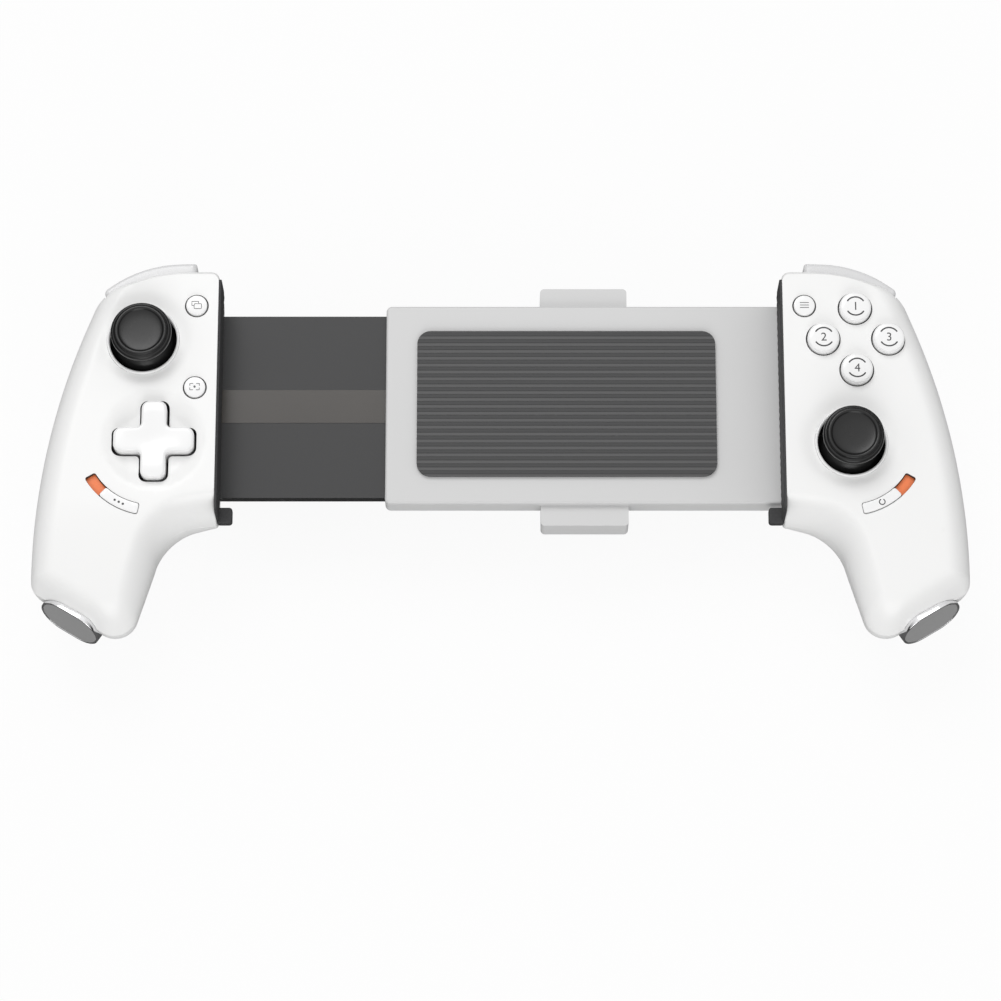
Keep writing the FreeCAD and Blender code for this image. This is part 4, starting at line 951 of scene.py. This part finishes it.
def print_marks(name, body, loops, level, material=PRINT):
    """Thin plates on a button's top, joined as one piece."""
    thickness, edge = 0.03, 0.005
    plates = [slab(loop, level, level + thickness, edge, pitch=3.0) for loop in loops]
    make_piece(name, joined(*plates), body, material)


def arc_path(x, y, radius, start, end, count=20):
    """A path along a circle between two angles in degrees."""
    return (x, y) + radius * around(np.radians(np.linspace(start, end, count)))


def line_path(*points):
    """A path along straight lines from point to point."""
    parts = [np.linspace(a, b, 6) for a, b in zip(points, points[1:])]
    return np.concatenate([parts[0], *[part[1:] for part in parts[1:]]])


def frame_strokes(x, y, width, height, thickness):
    """A rounded rectangle's outline in two halves, so that neither closes on itself."""
    corners = rectangle((-width / 2, width / 2), (-height / 2, height / 2))
    loop = rounded_loop(corners, 0.3, 5, 4) + (x, y)
    half = len(loop) // 2
    halves = loop[: half + 1], np.concatenate([loop[half:], loop[:1]])
    return [stroke(part, thickness) for part in halves]


def make_digit(digit, name, body, place, level):
    """A digit as a thin raised print, with its middle at a place."""
    size, half_thickness = 3.5, 0.015
    curve = bpy.data.curves.new(name, "FONT")
    curve.body, curve.size, curve.extrude = digit, size * MM, half_thickness * MM
    curve.align_x, curve.align_y = "CENTER", "CENTER"
    holder = added(name + "_text", curve)
    bpy.context.view_layer.update()
    shaped = holder.evaluated_get(bpy.context.evaluated_depsgraph_get())
    mesh = bpy.data.meshes.new_from_object(shaped)
    bpy.data.objects.remove(holder)
    points = np.zeros(len(mesh.vertices) * 3)
    mesh.vertices.foreach_get("co", points)
    points = points.reshape(-1, 3)
    middle = (points.max(0) + points.min(0)) / 2
    points += np.array([*place, level]) * MM - middle * (1, 1, 0)
    mesh.vertices.foreach_set("co", points.ravel())
    mesh.name = name
    mesh.materials.clear()
    mesh.materials.append(PRINT)
    piece = added(name, mesh)
    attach(piece, body)


def make_button_marks():
    """A digit between two arcs on each face button, and a pictogram on each small one."""
    top = FACE + FACE_BUTTON_RISE + 0.06
    for digit, (name, (x, y)) in zip("1234", FACE_BUTTONS.items()):
        make_digit(digit, f"{name}_digit", name, (x, y), top + 0.01)
        arcs = [stroke(arc_path(x, y, 2.75, start, start + 108), 0.42) for start in (36, 216)]
        print_marks(f"{name}_arcs", name, arcs, top - 0.02)
    level = FACE + SMALL_BUTTON_RISE + 0.07

    x, y = SMALL_BUTTONS["menu_button"]
    bars = [line_path((x - 1.2, y + rise), (x + 1.2, y + rise)) for rise in (-0.75, 0, 0.75)]
    bars = [stroke(bar, 0.2) for bar in bars]
    print_marks("menu_button_bars", "menu_button", bars, level, SOFT_PRINT)

    x, y = SMALL_BUTTONS["view_button"]
    left, right, low, high = x - 1.35, x + 0.55, y - 0.15, y + 1.1
    behind = line_path((x - 0.9, low), (left, low), (left, high), (right, high), (right, y + 0.6))
    frames = [*frame_strokes(x + 0.35, y - 0.35, 2.1, 1.5, 0.17), stroke(behind, 0.17)]
    print_marks("view_button_frames", "view_button", frames, level, SOFT_PRINT)

    x, y = SMALL_BUTTONS["capture_button"]
    bend = np.array([(0.5, 0.95), (1.35, 0.95), (1.35, 0.35)])
    ways = [(across, up) for across in (-1, 1) for up in (-1, 1)]
    corners = [stroke(line_path(*(bend * way + (x, y))), 0.18) for way in ways]
    dot = circle(x, y, 0.34, 20)
    print_marks("capture_button_frame", "capture_button", [*corners, dot], level, SOFT_PRINT)


def make_arc_mark(side):
    """Three dots on the left arc button, and an open ring on the right one."""
    middle = math.radians((ARC_SPLIT + ARC_END) / 2)
    way = np.array([-SIDES[side] * math.cos(middle), math.sin(middle)])
    along = np.array([-way[1], way[0]])
    spot = np.array(ARC_CENTRE[side]) + way * ARC_RADIUS
    if side == "left":
        marks = [circle(*(spot + along * shift), 0.34, 18) for shift in (-1.3, 0, 1.3)]
    else:
        marks = [stroke(arc_path(*spot, 0.8, 120, 420, 40), 0.3)]
    print_marks(f"{side}_arc_button_mark", f"{side}_arc_button", marks, FACE + ARC_BUTTON_RISE - 0.01)


# Shoulder controls and cushions

# The trigger's width, and its outline in (y, z) about its pin.
TRIGGER_SPAN, TRIGGER_PIN = (92.0, 111.0), (30.0, -5.6)
TRIGGER = np.array(
    [(-2.6, -1.5), (2.2, -5.5), (4.0, -14.0), (9.4, -16.8), (8.6, -6.0), (7.4, 3.0), (-2.0, 3.2)]
)


def make_shoulder(side):
    """The bumper and the trigger below it."""
    name = f"{side}_bumper"
    bar = slab(bumper_loop(0.0), BUMPER_LOW, BUMPER_HIGH, 1.3, 1.3, pitch=1.2)
    make_piece(f"{name}_cap", placed(side, bar), name, SHOULDER, [name])
    name = f"{side}_trigger"
    loop = rounded_loop(TRIGGER + TRIGGER_PIN, [1.6, 5.0, 7.0, 1.4, 26.0, 2.0, 1.8], 9, 14)
    lever = slab(loop, *TRIGGER_SPAN, 1.3, 1.3, pitch=1.2, lift=lambda points: points[:, [2, 0, 1]])
    make_piece(f"{name}_lever", placed(side, lever), name, SHOULDER, [name])


def make_cushion(side):
    """A strip with fine cross ribs: its thickness dips on a cosine along its length. A foot
    stands out from its near end."""
    depth, pitch = 0.12, 2.3

    def lift(points):
        return points[:, [2, 0, 1]] * (-1, 1, 1) + (INNER_SIDE, 0, 0)

    def ribs(plan):
        return -depth * (0.5 - 0.5 * np.cos(plan[:, 0] * TURN / pitch))

    loop = rounded_loop(rectangle((-35.6, 34.0), (-0.8, 11.4)), 1.6, 8, [90, 8, 90, 8])
    wall = slab(loop, 0.0, 0.8, 0.3, crown=ribs, lift=lift, pitch=0.5)
    ledge = rounded_loop(rectangle((76.4, INNER_SIDE), (-36.2, -31.4)), 0.9, 7, 6)
    foot = slab(ledge, -2.3, -0.1, 0.5)
    name = f"{side}_phone_cushion"
    strip = placed(side, joined(wall, foot))
    make_piece(f"{name}_strip", strip, f"{side}_half", CUSHION, [name])


# Build


for side in SIDES:
    make_shells(side)
    make_tail(side)
    make_stick(side)
    make_arc_parts(side)
    make_shoulder(side)
    make_cushion(side)
for name, place in FACE_BUTTONS.items():
    make_round_button(name, place, FACE_BUTTON_RADIUS, FACE_BUTTON_RISE, FACE_BUTTON_EDGE)
for name, place in SMALL_BUTTONS.items():
    make_round_button(name, place, SMALL_BUTTON_RADIUS, SMALL_BUTTON_RISE, SMALL_BUTTON_EDGE)
make_dpad()
make_button_marks()
for side in SIDES:
    make_arc_mark(side)
for solid in CUTTERS:
    bpy.data.objects.remove(solid)

# Looks of the solids that the scene shows as they are, with the ends of their names.
CAD_FINISHES = (
    (INNER, ("stick_housing", "stick_yoke", "stick_ball", "dpad_post", "dpad_pivot")),
    (STEEL, ("stick_lever", "trigger_pin", "trigger_spring", "bridge_springs", "charge_port")),
    (BRIDGE, ("bridge_front_cover", "bridge_rear_cover")),
    (BOARD, ("circuit_board",)),
    (SILICONE, ("button_pad",)),
    (REST, ("bridge_pad",)),
    (BLACK, ("bridge_rail",)),
    (FILM, ("ribbon_cable",)),
    (FOIL, ("battery_pack",)),
)
for name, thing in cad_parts.items():
    for material, endings in CAD_FINISHES:
        if name.endswith(endings):
            for place in thing.material_slots:
                place.material = material


# Floor, light and camera


def make_floor():
    """White paper: the camera sees it almost as plain white, and glossy rays see it dark."""
    reach, level, whiteness, darkness = 3.0, -0.0274, 0.92, 0.9
    mesh = bpy.data.meshes.new("floor")
    square = raised(rectangle((-reach, reach), (-reach, reach)), level)
    mesh.from_pydata(square.tolist(), [], [(0, 1, 2, 3)])
    floor = added("floor", mesh)
    finish = Finish("floor_paper", base_color=(0.8, 0.8, 0.8, 1), roughness=0.9)
    seen = finish.node("ShaderNodeLightPath", output="Is Camera Ray")
    in_gloss = finish.node("ShaderNodeLightPath", output="Is Glossy Ray")
    paper = finish.node("ShaderNodeEmission")
    dusk = finish.node("ShaderNodeEmission", {}, {"Color": (0.03, 0.03, 0.03, 1)})
    shaded = Output(finish, finish.surface.outputs[0])
    lit = finish.node("ShaderNodeMixShader", {}, [seen * whiteness, shaded, paper])
    whole = finish.node("ShaderNodeMixShader", {}, [in_gloss * darkness, lit, dusk])
    finish.tree.links.new(whole.socket, finish.tree.nodes["Material Output"].inputs["Surface"])
    mesh.materials.append(finish.material)


# Each lamp's name, place, aim, width in metres and power in watts.
LAMPS = (
    ("key", (-0.3, 0.95, 1.3), (0, 0, 0), 0.9, 9.5),
    ("fill", (0.05, -1.35, 0.7), (0, -0.02, 0), 0.9, 6.5),
)


def make_light():
    """A white studio that is dark near the horizon in reflections, and two lamps."""
    horizon, zenith, darkest, softness = 0.25, 0.85, 0.04, 0.66
    world = bpy.data.worlds.new("studio")
    bpy.context.scene.world = world
    world.use_nodes = True
    studio = Nodes(world.node_tree)
    background = studio.tree.nodes["Background"]
    background.inputs["Color"].default_value = (1, 1, 1, 1)
    place = studio.node("ShaderNodeTexCoord", output="Generated")
    height = studio.node("ShaderNodeSeparateXYZ", {}, [place], "Z")
    in_gloss = studio.node("ShaderNodeLightPath", output="Is Glossy Ray")
    seen = studio.node("ShaderNodeLightPath", output="Is Camera Ray")
    reflected = height.between(horizon, zenith, darkest, 1.0)
    soft = seen.between(0.0, 1.0, softness, 1.0)
    strength = studio.node("ShaderNodeMix", {}, {0: in_gloss, 2: soft, 3: reflected})
    studio.tree.links.new(strength.socket, background.inputs["Strength"])
    for name, place, aim, width, power in LAMPS:
        lamp = bpy.data.lights.new(name, "AREA")
        lamp.size, lamp.energy = width, power
        holder = added(name, lamp)
        holder.location = place
        holder.rotation_euler = (Vector(aim) - Vector(place)).to_track_quat("-Z", "Y").to_euler()


def make_camera():
    """The photograph's view: from above the near side, 72.5 degrees up, with a long lens."""
    elevation, distance, aim = math.radians(72.5), 1.1, Vector((0, -0.0294, 0))
    lens = bpy.data.cameras.new("camera")
    lens.lens, lens.sensor_width, lens.clip_start = 138.8, 36.0, 0.05
    camera = added("camera", lens)
    camera.location = aim + distance * Vector((0, -math.cos(elevation), math.sin(elevation)))
    camera.rotation_euler = (math.pi / 2 - elevation, 0, 0)
    bpy.context.scene.camera = camera


make_floor()
make_light()
make_camera()
bpy.context.scene.view_settings.view_transform = "Standard"
